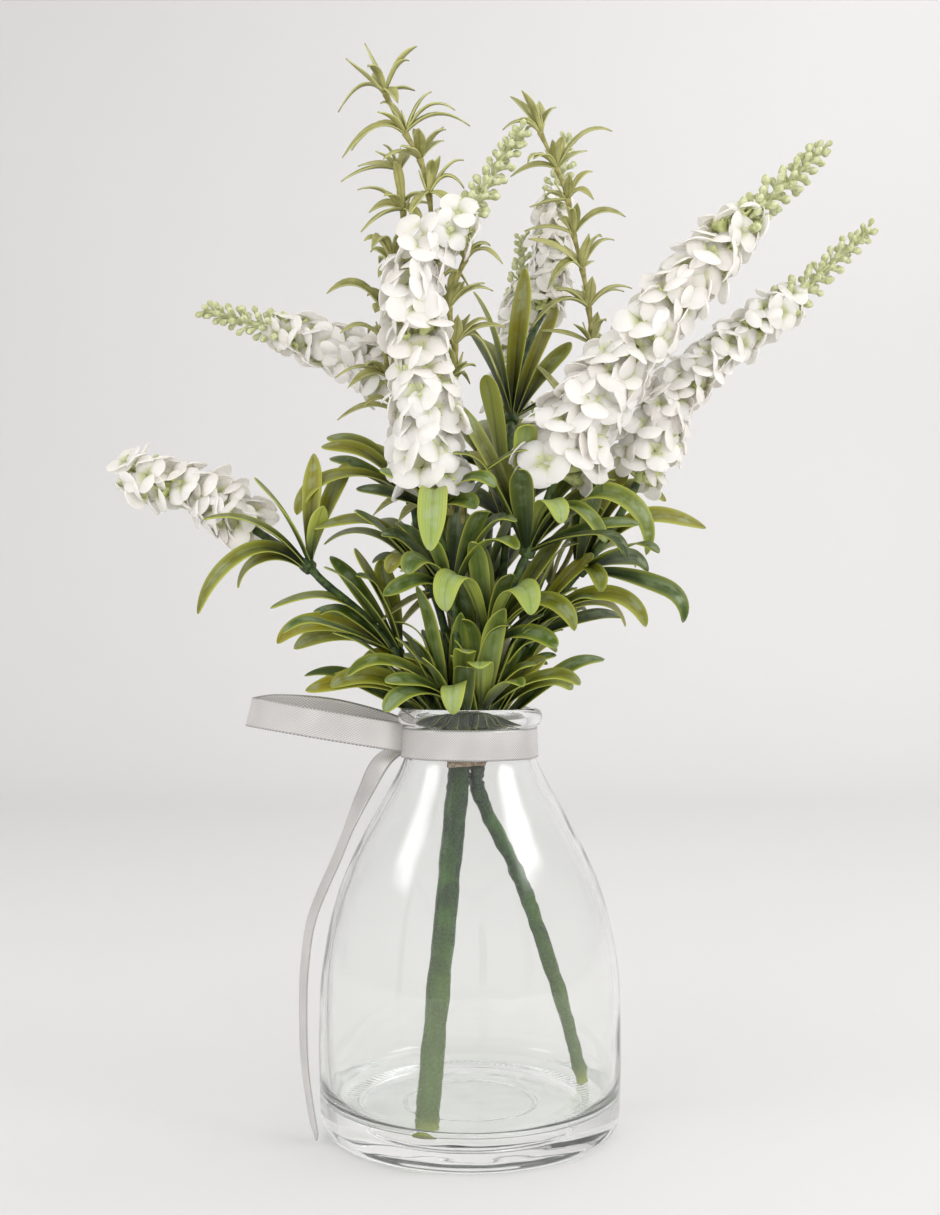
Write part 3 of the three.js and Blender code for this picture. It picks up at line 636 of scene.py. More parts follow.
# %% Main and side stem
MAIN_STEM = Route((-13, -40.6, 9.95), (-12.3, -36.4, 22), (-9.4, -23.7, 55.7), (-5.2, -7, 100),
                  (-3.6, 0, 118), (-3.4, 0, 125.4))
SIDE_STEM = Route((39, 10, 9.95), (35.3, 8, 24), (29, 6, 45.8), (19.8, 3, 72.6), (15.3, 2.6, 83.6),
                  (3.4, 1.7, 107.5), (2.4, 1.4, 116), (2.4, 1.4, 124.4))
HEAD_FOOT = Vector((0, 0, 123.9))
HEAD_PROFILE = ((0, 0), (0, 5.6), (0.4, 6.4), (2.2, 7.5), (4.0, 8.0), (4.5, 7.7), (4.5, 0))


def knobbly(size, seed, lump=0.07):
    """A radius that wanders round and along the rod."""

    def radius(share, angle):
        place = Vector((math.cos(angle) * 0.8, math.sin(angle) * 0.8, share * 26 + seed))
        ring = 0.03 * math.sin(share * 61 + seed) ** 6
        return size * (1 + lump * noise.noise(place) + 0.6 * lump * noise.noise(place * 2.7) + ring)

    return radius


main_mesh = new_mesh()
rod(main_mesh, MAIN_STEM, 0, 1, knobbly(3.6, 3, 0.11), sides=28, pitch=0.9)
turned(main_mesh, HEAD_FOOT, UP, HEAD_PROFILE, 32)
finish_piece("main_stem_rod", main_mesh, [stem], "stem_plastic", "main_stem")
side_mesh = new_mesh()
rod(side_mesh, SIDE_STEM, 0, 1, knobbly(2.4, 11, 0.26), sides=24, pitch=0.9)
finish_piece("side_stem_rod", side_mesh, [stem], "stem_plastic", "side_stem")

# %% [markdown]
# ## The tie
# A few turns of paper tape hold the two stems together under the mouth. The tape goes round both rods
# like a belt round two rollers, and each turn lies a little askew over the last.

# %% Wind the tape
TIE_ROLLERS = ((Vector((-3.6, -0.1, 0)), 4.0), (Vector((2.4, 1.2, 0)), 2.7))
TIE_FOOT = 118.0
TAPE_WIDTH = 3.0


def belt(angle, grow):
    """A point on the belt round both rollers, seen from above."""
    out = Vector((math.cos(angle), math.sin(angle), 0))
    return max((centre + out * (reach + grow) for centre, reach in TIE_ROLLERS), key=lambda p: p.dot(out))


def tie_turn(lift, slant, grow):
    """One turn of tape, lifted off the tie's foot, sloping, and wound over what is under it."""

    def place(u, v):
        angle = 2 * math.pi * (1 - v)
        point = belt(angle, grow + 0.12 * math.sin(v * 23) * math.sin(u * 3.1))
        point.z = TIE_FOOT + lift + u * TAPE_WIDTH + slant * point.x + 0.15 * math.sin(angle * 3)
        return point

    return place


tie_mesh = new_mesh()
for lift, slant, grow in ((0.0, 0.05, 0.0), (1.6, -0.06, 0.28), (3.1, 0.03, 0.1)):
    bend_grid(tie_mesh, 6, 72, tie_turn(lift, slant, grow), weld=True)
tie_mesh = thicken(tie_mesh, [tape], 0.5)
finish_piece("stem_tie_tape", tie_mesh, [tape], "tie_tape", "stem_tie")

# %% [markdown]
# ## The satin ribbon
# One length of ribbon goes round the neck. From the left of the neck it makes a flat loop out to the
# left, and its end falls beside the jar to the floor, turning its edge to us half way. The strip is laid
# along each route with its width held in a chosen direction. The band, the loop and the tail together
# are the ribbon's whole length, so they are one sheet.

# %% Lay the ribbon
RIBBON_WIDTH = 10.0
RIBBON_WALL = 0.3
RIBBON_MIDDLE = 126.6
NECK_REACH = 22.5
RIBBON_LOOP = Route((-22.25, -3, 128.1), (-30, -6.4, 129.6), (-48, -8, 132.6), (-66, -6.6, 135.6),
                    (-73.2, -2.8, 136.6), (-73.6, 0.6, 136.8), (-66, 4, 137.6), (-48, 7.4, 136.1),
                    (-30, 9.6, 131.6), (-19.75, 10.6, 127.6))
RIBBON_TAIL = Route((-20.75, 9.6, 125.6), (-29.6, 6.5, 120), (-35, 5, 110.5), (-39.8, 3, 100),
                    (-45, 0.5, 87), (-52.4, -3, 69), (-54.6, -6, 54), (-54.8, -9, 40),
                    (-53.8, -12.5, 23), (-50.8, -17.6, 8), (-48.8, -20.6, 1.2))
BAND_LENGTH = 2 * math.pi * NECK_REACH
RIBBON_LENGTH = BAND_LENGTH + RIBBON_LOOP.length() + RIBBON_TAIL.length()


def band_place(u, v):
    """Round the neck, with slight waves and a little closer at the top."""
    angle = 2 * math.pi * (1 - (v % 1.0))
    wave = 0.35 * (1 + math.sin(8 * angle + 0.4)) * (1 - u * 0.4)
    reach = NECK_REACH - 0.25 * u + wave
    height = RIBBON_MIDDLE + (u - 0.5) * RIBBON_WIDTH
    return Vector((math.cos(angle) * reach, math.sin(angle) * reach, height))


def loop_place(u, v):
    """Out to the left and back, leaning a little at the far end."""
    lean = Vector((0.25 * math.sin(v * math.pi), -0.10 * math.sin(v * math.pi), 1)).normalized()
    return RIBBON_LOOP.at(v) + lean * (u - 0.5) * RIBBON_WIDTH


def tail_place(u, v):
    """Down to the floor, narrow where it is pinched behind the band, and turning as it falls."""
    turn = 0.5 + 0.7 * min(v * 3, 1)
    across = Vector((math.cos(turn), -math.sin(turn), 0))
    pinch = min(1.0, 0.1 + (1 - v) * 16)
    cup = RIBBON_TAIL.heading(v).cross(across) * 0.5 * (1 - (2 * u - 1) ** 2)
    return RIBBON_TAIL.at(v) + across * (u - 0.5) * RIBBON_WIDTH * pinch + cup


ribbon_mesh = new_mesh()
bend_grid(ribbon_mesh, 10, 160, band_place, scale=(1, BAND_LENGTH / RIBBON_WIDTH), weld=True)
bend_grid(ribbon_mesh, 10, 110, loop_place, scale=(1, RIBBON_LOOP.length() / RIBBON_WIDTH))
bend_grid(ribbon_mesh, 10, 140, tail_place, scale=(1, RIBBON_TAIL.length() / RIBBON_WIDTH))
ribbon_mesh = thicken(ribbon_mesh, [satin], RIBBON_WALL)
ribbon = finish_piece("satin_ribbon_cloth", ribbon_mesh, [satin], "satin", "satin_ribbon")
print("ribbon length", round(RIBBON_LENGTH), "mm")

# %% [markdown]
# ## Blades
# A strap leaf springs from its collar as a narrow channel, widens past its middle and arches over to a
# rounded tip. Its spine is a simple arc from foot to tip. The section across is a shallow V near the
# stem that opens out and droops at the edges. A roll turns the blade about its spine, and a hook curls
# its last third down.

# %% Helper for one blade
HOOK_START = 0.68
ARCH_PLACE = 0.46
STRAIGHT = 0.01
UPRIGHT_REACH = 0.3


def arc(foot, middle, tip, v):
    """The point and the heading at v on an arc that middle pulls up."""
    ahead = (middle - foot) * (1 - v) + (tip - middle) * v
    return foot * (1 - v) ** 2 + middle * 2 * v * (1 - v) + tip * v**2, ahead.normalized()


def blade(mesh, foot, tip, arch, width, outline, channel=(0.75, -0.1), roll=0.0, twist=0.0, hook=0.0,
          across=6, along=14, tone=0.5):
    """One leaf blade. outline(share) is the width's share, channel the V's angle at the foot and tip.
    hook is how far the last third curls down, in radians."""
    middle = foot.lerp(tip, ARCH_PLACE) + UP * arch
    crook, crook_way = arc(foot, middle, tip, HOOK_START)
    tail = (tip - crook).length
    flat_side = Vector((foot.y - tip.y, tip.x - foot.x, 0))
    if flat_side.length < UPRIGHT_REACH:
        flat_side = Vector((1.0, 0.0, 0.0))
    flat_side.normalize()

    def place(u, v):
        spine, ahead = arc(foot, middle, tip, v)
        if hook > STRAIGHT and v > HOOK_START:
            angle = hook * (v - HOOK_START) / (1 - HOOK_START)
            under = crook_way.cross(squared(flat_side, crook_way)) * -1
            spine = crook + (crook_way * math.sin(angle) + under * (1 - math.cos(angle))) * tail / hook
            ahead = turned_to(crook_way, under, angle)
        side = squared(flat_side, ahead)
        face = ahead.cross(side)
        turn = roll + twist * v
        side, face = turned_to(side, face, turn), turned_to(face, -side, turn)
        s = 1 - 2 * u
        half = width / 2 * outline(v)
        fold = channel[0] * (1 - v) ** 1.5 + channel[1] * v
        bow = abs(s) ** 1.3
        return spine + side * s * half * math.cos(fold * 0.8) + face * half * bow * math.sin(fold)

    bend_grid(mesh, across, along, place, tone, weld=True)


# %% Outlines of the blades
def strap_outline(point):
    """A channel that widens past the middle. point is how sharply it closes, from 0.5, round, to 1."""
    tip_start = 0.74 - 0.24 * (point - 0.5)

    def share_of_width(v):
        share = 0.38 + 0.62 * math.sin(min(0.82 * math.pi * v, 0.5 * math.pi)) ** 1.4
        if v > tip_start:
            share *= max(0.0, 1 - ((v - tip_start) / (1 - tip_start)) ** 2.1) ** point
        return share

    return share_of_width


def lance_outline(v):
    """A narrow leaf that is widest at a third and runs out to a point."""
    opened = 0.35 + 0.65 * math.sin(math.pi * min(v / 0.76, 1.0) * 0.5)
    return opened * (1 - max(0.0, (v - 0.4) / 0.6) ** 1.6)


# %% [markdown]
# ## Branches
# Seven branches leave the tie. Each is one line from the tie to the last bud: a bare dark stem first,
# then the flower spike, then the tip with closed buds. Collars with rings of strap leaves are pushed on
# to the bare stem. Every leaf is given by the place of its tip and the height of its arch. A fifth number
# makes it one of the pale leaves, and is that leaf's hook.

# %% What each branch is like
BRANCH_FOOT = 127.9
branches = {
    "front": {
        "line": Route((-3, -5.5, BRANCH_FOOT), (-5, -8, 167), (-9, -14, 192), (-12, -18, 210),
                      (-14, -20, 229), (-15, -20, 245), (-18, -18, 264), (-19, -17, 277),
                      (-14, -15, 291), (-1, -12, 302), (9, -9, 319), (17, -7, 332)),
        "flowers": (209, 300), "spread": 12.0, "foot_spread": 0.3, "bud_overlap": 17.0, "gold": 0.12,
        "leaves": {
            203: ((-12, -50, 186, 25, 0.0), (9, -34, 210, 12), (3, -26, 204, 5), (-29, -30, 214, 7),
                  (-23, 12, 226, 8)),
            176: ((15, -30, 203, 11), (16, -38, 191, 16), (-21, -40, 185, 11), (-28, -22, 174, 11),
                  (-11, 18, 210, 4)),
            136: ((-42, -20, 152, 18), (-27, -34, 147, 11), (-28, -36, 140, 13), (-6, -40, 141, 15, 2.2),
                  (-1, -34, 158, 14)),
        },
    },
    "right_high": {
        "line": Route((3, -4.5, BRANCH_FOOT), (7, -6, 161), (19, -14, 190), (27, -18, 211), (33, -22, 229),
                      (45, -25, 244), (60, -26, 263), (74, -24, 280), (90, -20, 298), (106, -14, 313),
                      (118, -8, 326)),
        "flowers": (212, 299), "spread": 12.0, "foot_spread": 0.6, "gold": 0.22,
        "leaves": {
            190: ((30, -38, 198, 22, 1.6), (44, -30, 191, 28), (66, -22, 190, 39), (-4, -8, 240, 9),
                  (18, -30, 229, 21), (49, -6, 212, 27)),
            158: ((-11, -46, 173, 30, 2.2), (21, -44, 172, 24, 1.8), (36, -30, 165, 25), (29, -22, 159, 10),
                  (34, -6, 201, 6)),
            136: ((17, -32, 150, 5), (38, -14, 150, 10), (3, -36, 156, 8, 1.2), (22, -12, 154, 9)),
        },
    },
    "right_low": {
        "line": Route((5.6, 0.8, BRANCH_FOOT), (15, 2, 154), (32, 2, 178), (45, 0, 194), (56, -2, 213),
                      (61, -4, 228), (68, -4, 242), (79, -4, 253), (95, -4, 266), (109, -2, 276),
                      (124, 2, 290), (138, 6, 303)),
        "flowers": (214, 277), "spread": 9.0, "foot_spread": 0.7, "gold": 0.6,
        "leaves": {
            185: ((81, 4, 197, 25), (69, 14, 208, 33), (44, -18, 178, 6), (55, 8, 220, 15),
                  (47, 34, 223, 9), (62, 36, 190, 17)),
            161: ((64, -2, 168, 25), (58, 10, 169, 19), (42, -4, 190, 9), (44, 38, 176, 21),
                  (28, 40, 191, 13)),
            136: ((37, 4, 147, 11), (26, -6, 154, 10), (32, 30, 161, 16), (18, 36, 161, 16)),
        },
    },
    "left_high": {
        "line": Route((-5, 4.4, BRANCH_FOOT), (-8, 6, 161), (-16, 10, 189), (-21, 14, 217), (-24, 18, 239),
                      (-30, 20, 254), (-41, 22, 262), (-54, 24, 268), (-67, 25, 272), (-81, 26, 276),
                      (-95, 26, 280)),
        "flowers": (252, 272.5), "spread": 10.5, "gold": 0.6,
        "leaves": {
            210: ((-65, 4, 207, 20), (-53, 16, 228, 16), (-52, 24, 233, 16), (-43, 34, 232, 13),
                  (-26, 46, 236, 7)),
            178: ((-52, -6, 195, 29), (-52, 8, 195, 22), (-28, -18, 185, 13), (-35, 24, 204, 18),
                  (-19, 44, 206, 10)),
            138: ((-22, -8, 157, 8), (-36, 16, 156, 11), (-25, 34, 161, 12), (-11, 36, 169, 9)),
        },
    },
    "left_low": {
        "line": Route((-6.2, -1.6, BRANCH_FOOT), (-15, 0, 141), (-25, -2, 157), (-37, -3, 170),
                      (-49, -2, 180), (-55, 0, 186), (-65, 5, 193), (-76, 9, 200), (-85, 11, 207),
                      (-98, 13, 213), (-111, 15, 217), (-119, 21, 220), (-121, 32, 223), (-117, 44, 227)),
        "flowers": (199, 220), "spread": 10.5, "gold": 0.65,
        "leaves": {
            186: ((-95, -4, 170, 26), (-84, 10, 181, 13), (-90, -8, 202, 13), (-72, -10, 215, 7),
                  (-54, 8, 226, 6), (-43, 16, 224, 6), (-49, -6, 206, 4)),
            157: ((-67, -8, 170, 24), (-68, -2, 163, 14), (-62, 8, 159, 12), (-39, -6, 192, 6),
                  (-31, 6, 189, 3), (-45, 30, 168, 10)),
            137: ((-37, -6, 157, 15), (-48, -4, 146, 15), (-56, 0, 142, 17), (-36, 14, 151, 10)),
        },
    },
    "back": {
        "line": Route((0.6, 5.6, BRANCH_FOOT), (7, 8, 154), (12, 14, 189), (14, 20, 218), (15, 26, 241),
                      (21, 42, 269), (29, 54, 291), (31, 60, 312), (33, 62, 331), (36, 63, 345),
                      (38, 64, 357)),
        "flowers": (286, 331), "spread": 8.5, "gold": 0.75,
        "leaves": {
            241: ((20, 28, 297, 0), (32, 34, 284, 4), (1, 22, 286, 18), (2, 44, 273, 21), (38, 44, 273, 5)),
            203: ((5, 12, 254, 19), (12, 0, 224, 3), (34, 44, 240, 14), (0, 52, 237, 10),
                  (23, 62, 239, 10)),
            142: ((13, 38, 176, 4), (0, 42, 176, 0), (26, 44, 161, 12)),
        },
    },
    "far_back": {
        "line": Route((4.6, 4.6, BRANCH_FOOT), (3, 12, 158), (6, 24, 190), (9, 42, 224), (14, 56, 253),
                      (18, 66, 281), (20, 70, 301), (21, 72, 320)),
        "flowers": (250, 298), "spread": 8.5, "gold": 0.6,
        "leaves": {
            224: ((36, 78, 257, 7), (-12, 72, 252, 7), (25, 92, 268, 2), (4, 90, 251, 11)),
            177: ((-8, 62, 208, 0), (27, 64, 212, 0), (-26, 44, 191, 1), (12, 70, 201, 4)),
        },
    },
}
print("leaves:", sum(len(ring) for b in branches.values() for ring in b["leaves"].values()))

# %% Branch stems
BRANCH_RADIUS = 1.4
BRANCH_FLARE = 1.1


def flared(seed):
    """A knobbly rod that is stouter where it leaves the tie."""
    plain = knobbly(BRANCH_RADIUS, seed, 0.08)
    return lambda share, angle: plain(share, angle) + BRANCH_FLARE * max(0.0, 1 - share * 5.0)


for name, branch in branches.items():
    branch["start"], branch["end"] = (branch["line"].share_at_height(height) for height in branch["flowers"])
    branch_mesh = new_mesh()
    rod(branch_mesh, branch["line"], 0.004, branch["start"], flared(len(name)), pitch=1.6)
    node = "branch_" + name
    finish_piece(node + "_rod", branch_mesh, [branch_plastic], "branch_plastic", node)

# %% [markdown]
# ## Leaf whorls
# A whorl is a short collar with its ring of leaves, moulded in one piece. The collar is a turned ring,
# and each leaf starts inside it, pointing towards its tip. Where the bunch is dense, short filler leaves,
# painted dark as the shade in the heart of the bunch, stand between the ones that can be told apart in
# the photograph.

# %% Collars
COLLAR_RADIUS = 2.6
COLLAR_HALF = 2.1
COLLAR = [(-COLLAR_HALF, BRANCH_RADIUS * 0.9), (-COLLAR_HALF, COLLAR_RADIUS * 0.8),
          (-COLLAR_HALF + 0.5, COLLAR_RADIUS), (0, COLLAR_RADIUS * 1.04),
          (COLLAR_HALF - 0.6, COLLAR_RADIUS), (COLLAR_HALF, COLLAR_RADIUS * 0.75),
          (COLLAR_HALF, BRANCH_RADIUS * 0.9)]
LEAF_DEPTH = 0.6


def leaf_foot(centre, heading, tip, reach):
    """Where a leaf leaves its collar: square to the stem, towards the tip."""
    return centre + squared(tip - centre, heading) * reach


def facing_roll(foot, tip, rng, most=0.75, spread=0.3):
    """Leaves at the sides are pressed so that their upper face also leans to the front."""
    ahead = tip - foot
    return most * ahead.x / max(ahead.length, 1e-6) + rng.uniform(-spread, spread)


# %% Leaves of a whorl
LEAF_WIDTH = 8.0
LEAF_WALL = 0.5
PALE_TONE = 1.85
UPRIGHT = 0.75
DENSE_BELOW = 165
FREE_FROM = 200
HIGH = 180
LOWEST = 145
SUNK = 7.0
FILLER_LEAN = (16, 46)
HIGH_LEAN = 24
FILLER_LENGTH = (26, 50)


def filler_count(name, height):
    """Short leaves that fill the heart of the bunch: many low down, few on the whorls that stand free."""
    if name == "left_low" and height > HIGH:
        return 0
    return 7 if height < DENSE_BELOW else 6 if height < FREE_FROM else 2


def add_fillers(mesh, name, height, centre, heading, across, lift, rng):
    """Short leaves all round, painted dark as shade, steeper low down, where they also start inside the
    jar's mouth.
    """
    fillers = filler_count(name, height)
    for k in range(fillers):
        turn = 2 * math.pi * (k + rng.uniform(-0.3, 0.3)) / fillers
        out = turned_to(across, lift, turn)
        lean = math.radians(rng.uniform(*FILLER_LEAN) + (HIGH_LEAN if height > HIGH else 0))
        tip = centre + turned_to(heading, out, lean) * rng.uniform(*FILLER_LENGTH)
        foot = centre + out * COLLAR_RADIUS * LEAF_DEPTH - heading * (SUNK if height < LOWEST else 0.0)
        # The tones below 0 paint these fillers dark, as shade in the heart of the bunch.
        blade(mesh, foot, tip, rng.uniform(1, 6), LEAF_WIDTH * rng.uniform(0.72, 1.0),
              strap_outline(rng.uniform(0.6, 0.95)), roll=facing_roll(foot, tip, rng), along=16,
              twist=rng.uniform(-0.4, 0.4), hook=rng.uniform(0.3, 1.7), tone=rng.uniform(-0.58, -0.08))


def add_leaf(mesh, centre, heading, gold, rng, x, y, z, arch, *pale_hook):
    """One of the leaves that the photograph shows."""
    tip = Vector((x, y, z))
    foot = leaf_foot(centre, heading, tip, COLLAR_RADIUS * LEAF_DEPTH)
    size = min(1.12, 0.72 + (tip - foot).length / 130)
    width = LEAF_WIDTH * size * rng.uniform(0.88, 1.06)
    outline = strap_outline(rng.uniform(0.55, 0.95))
    hook = 0.0 if (tip - foot).normalized().z > UPRIGHT else rng.uniform(0.2, 1.5)
    tone = min(1.0, max(-0.3, gold + rng.uniform(-0.35, 0.3)))
    if pale_hook:
        width, outline, hook, tone = width * 1.2, strap_outline(0.66), pale_hook[0], PALE_TONE
    blade(mesh, foot, tip, arch, width, outline, roll=facing_roll(foot, tip, rng),
          twist=rng.uniform(-0.35, 0.35), hook=hook, along=18, tone=tone)


# %% Make the whorls
for name, branch in branches.items():
    for k, (height, leaves) in enumerate(sorted(branch["leaves"].items())):
        rng = random.Random(name + str(k))
        share = branch["line"].share_at_height(height)
        centre, heading, across, lift = branch["line"].frames([share])[0]
        mesh = new_mesh()
        add_fillers(mesh, name, height, centre, heading, across, lift, rng)
        for leaf in leaves:
            add_leaf(mesh, centre, heading, branch["gold"], rng, *leaf)
        mesh = thicken(mesh, [leaf_top, leaf_under], LEAF_WALL, rounding=1)
        turned(mesh, centre, heading, COLLAR, 16, tone=0.0, finish=2)
        node = "leaf_whorl_" + name + "_" + str(k + 1)
        finish_piece(node + "_leaves", mesh, [leaf_top, leaf_under, branch_plastic], "leaf_plastic", node)

# %% [markdown]
# ## Florets
# The open part of a spike is a pale green sleeve with rows of florets. A floret is a short calyx with
# four broad white petals that open wide and curl back a little. One petal is a small bent grid of a few
# dozen faces, because there are hundreds of them. Each floret leans outwards and towards the spike's tip,
# and small seeded changes keep them from looking alike.

# %% Helpers for petals and calyces
PETAL_WALL = 0.3
CALYX_WALL = 0.35
CALYX_FOOT = 0.55
WIDEST = 0.55
ROUNDED = 0.45


def petal_outline(v):
    """Narrow at the foot and broadly rounded at the end."""
    if v < WIDEST:
        return 0.45 + 0.55 * math.sin(v / WIDEST * math.pi / 2)
    return math.sqrt(max(0.0, 1 - ((v - WIDEST) / ROUNDED) ** 2.1))


def petal(mesh, foot, axis, out, length, width, opening, cup, tone):
    """One petal that starts along its floret's axis and opens outwards."""
    side = axis.cross(out)
    first, last = opening
    bend = last - first

    def place(u, v):
        v = 1 - (1 - v) ** 1.6
        angle = first + bend * v
        up_part = (math.sin(angle) - math.sin(first)) / bend
        out_part = (math.cos(first) - math.cos(angle)) / bend
        s = 1 - 2 * u
        half = width / 2 * petal_outline(v)
        facing = axis * math.sin(angle) - out * math.cos(angle)
        spine = foot + (axis * up_part + out * out_part) * length
        return spine + side * s * half + facing * (cup * half * s * s)

    bend_grid(mesh, 4, 6, place, tone, weld=True)


def calyx(mesh, foot, axis, length, mouth):
    """A green cup whose rim runs out in four small points between the petals."""
    side = axis.orthogonal().normalized()
    lift = axis.cross(side)

    def place(u, v):
        angle = 2 * math.pi * (u % 1.0)
        point = 0.5 + 0.5 * math.cos(4 * angle)
        reach = CALYX_FOOT + (mouth - CALYX_FOOT) * v**1.5
        out = length * v * (0.8 + 0.45 * point * v)
        return foot + axis * out + turned_to(side, lift, angle) * reach

    bend_grid(mesh, 8, 3, place, weld=True)


# %% Spikes of florets
FULL_SPREAD = 12.0
CORE_RADIUS = 1.5
ROW_PITCH = 6.2
ROW_FLORETS = ((0.35, 5), (0.85, 4), (1.0, 3))
FLORET_LEAN = (45, 88)
TUBE = 7.9
TUBE_SHARE = (0.6, 1.15)
CALYX_MOUTH = 2.8
PETAL_SIZE = 10.2
PETAL_START = (30, 60)
PETAL_END = (90, 150)
PETAL_CUP = (-0.45, -0.1)


def floret(petals, greens, foot, axis, tube, size, reduce, rng):
    """A calyx with its four petals, whose spin, opening and size wander a little."""
    calyx(greens, foot, axis, tube * 0.85, CALYX_MOUTH * size**0.5)
    mouth = foot + axis * tube * 0.8
    spin = rng.uniform(0, math.pi / 2)
    across = axis.orthogonal().normalized()
    lift = axis.cross(across)
    span = PETAL_SIZE * (size**0.7 * reduce * rng.uniform(0.9, 1.1))
    tone = rng.uniform(0.15, 1.0)
    for quarter in range(4):
        out = turned_to(across, lift, spin + quarter * math.pi / 2 + rng.uniform(-0.12, 0.12))
        opening = [math.radians(rng.uniform(*angles)) for angles in (PETAL_START, PETAL_END)]
        foot = mouth + out * 0.3 + axis * rng.uniform(-0.9, 0.9)
        length, width = span * rng.uniform(0.88, 1.12), span * rng.uniform(0.9, 1.12)
        cup = rng.uniform(*PETAL_CUP)
        own_tone = min(1.0, max(0.0, tone + rng.uniform(-0.25, 0.25)))
        petal(petals, foot, axis, out, length, width, opening, cup, own_tone)


for name, branch in branches.items():
    rng = random.Random("florets " + name)
    line, start, end = branch["line"], branch["start"], branch["end"]
    size = branch["spread"] / FULL_SPREAD
    rows = max(3, round(line.length(start, end) / (ROW_PITCH * (0.55 + 0.45 * size))))
    petals = new_mesh()
    greens = new_mesh()
    count = 0
    for row in range(rows):
        centre, heading, side, lift = line.frames([start + (end - start) * (row + 0.5) / rows])[0]
        part = row / rows
        reduce = 1 - 0.2 * part - 0.15 * max(0.0, part - 0.85) / 0.15
        reach = 1.0 + branch.get("foot_spread", 0.0) * max(0.0, 1 - part / 0.5)
        florets = next(number for limit, number in ROW_FLORETS if part < limit)
        for k in range(florets):
            turn = 2 * math.pi * (k + 0.5 * (row % 2)) / florets + rng.uniform(-0.22, 0.22)
            out = turned_to(side, lift, turn)
            axis = turned_to(heading, out, math.radians(rng.uniform(*FLORET_LEAN))).normalized()
            foot = centre + out * CORE_RADIUS * 0.7 + heading * rng.uniform(-1.2, 1.2)
            tube = TUBE * size * reduce * reach * rng.uniform(*TUBE_SHARE)
            floret(petals, greens, foot, axis, tube, size, reduce, rng)
        count += florets
    greens = thicken(greens, [calyx_plastic], CALYX_WALL)
    rod(greens, line, start, end, lambda share, angle: CORE_RADIUS, sides=10)
    petals = thicken(petals, [white], PETAL_WALL, crisp=True)
    node = "florets_" + name
    finish_piece(node + "_petals", petals, [white], "petal", node)
    finish_piece(node + "_calyces", greens, [calyx_plastic], "bud_plastic", node)
    print(name, count, "florets")

# %% [markdown]
# ## Bud tips
# The spike ends in closed buds: small round heads on short stalks that stand off the axis at a slant
# and get smaller towards the end. They start a little below the last florets, so the two mingle. A bud
# and its stalk are one turned shape, and each stands a golden angle on from the last.

# %% Buds along each tip
GOLDEN_ANGLE = math.pi * (3 - math.sqrt(5))
BUD_PITCH = 0.78
BUD_OVERLAP = 9.0
BUD_LEAN = 60
BUD_STALK = 6.0
BUD_RADIUS = 1.65
BUD_HEAD = ((0.0, 0.62), (0.75, 1.0), (1.5, 0.78), (1.95, 0.3), (2.0, 0.0))
for name, branch in branches.items():
    rng = random.Random("buds " + name)
    line = branch["line"]
    start = branch["end"] - branch.get("bud_overlap", BUD_OVERLAP) / line.length()
    size = 0.55 + 0.45 * branch["spread"] / FULL_SPREAD
    buds = new_mesh()
    rod(buds, line, start, 1.0, lambda share, angle: 1.4 - 0.6 * share, sides=10, pitch=2)
    count = round(line.length(start, 1.0) / BUD_PITCH)
    for k in range(count):
        part = (k + 0.5) / count
        centre, heading, side, lift = line.frames([start + (1 - start) * part])[0]
        out = turned_to(side, lift, GOLDEN_ANGLE * k)
        lean = math.radians(BUD_LEAN - 14 * part + rng.uniform(-8, 8))
        axis = turned_to(heading, out, lean).normalized()
        stalk = (BUD_STALK - 3.2 * part) * size * rng.uniform(0.75, 1.1)
        head = (BUD_RADIUS - 0.45 * part) * size * rng.uniform(0.88, 1.1)
        profile = [(0, 0.0), (0, 0.55), (stalk * 0.6, 0.45)]
        profile += [(stalk + head * up, head * wide) for up, wide in BUD_HEAD]
        turned(buds, centre + heading * 0.2, axis, profile, 7)
    node = "bud_tip_" + name
    finish_piece(node + "_buds", buds, [bud_plastic], "bud_plastic", node)
    print(name, count, "buds")

# %% [markdown]
# ## Filler sprigs
# Four thin olive sprigs fill the gaps. At each joint the stem swells into a small sheath, from which a
# ring of narrow leaves arches out and down, and three short bracts stand up beside them. As on the
# branches, a leaf is given by its tip and its arch, and two more at each joint are left to chance.

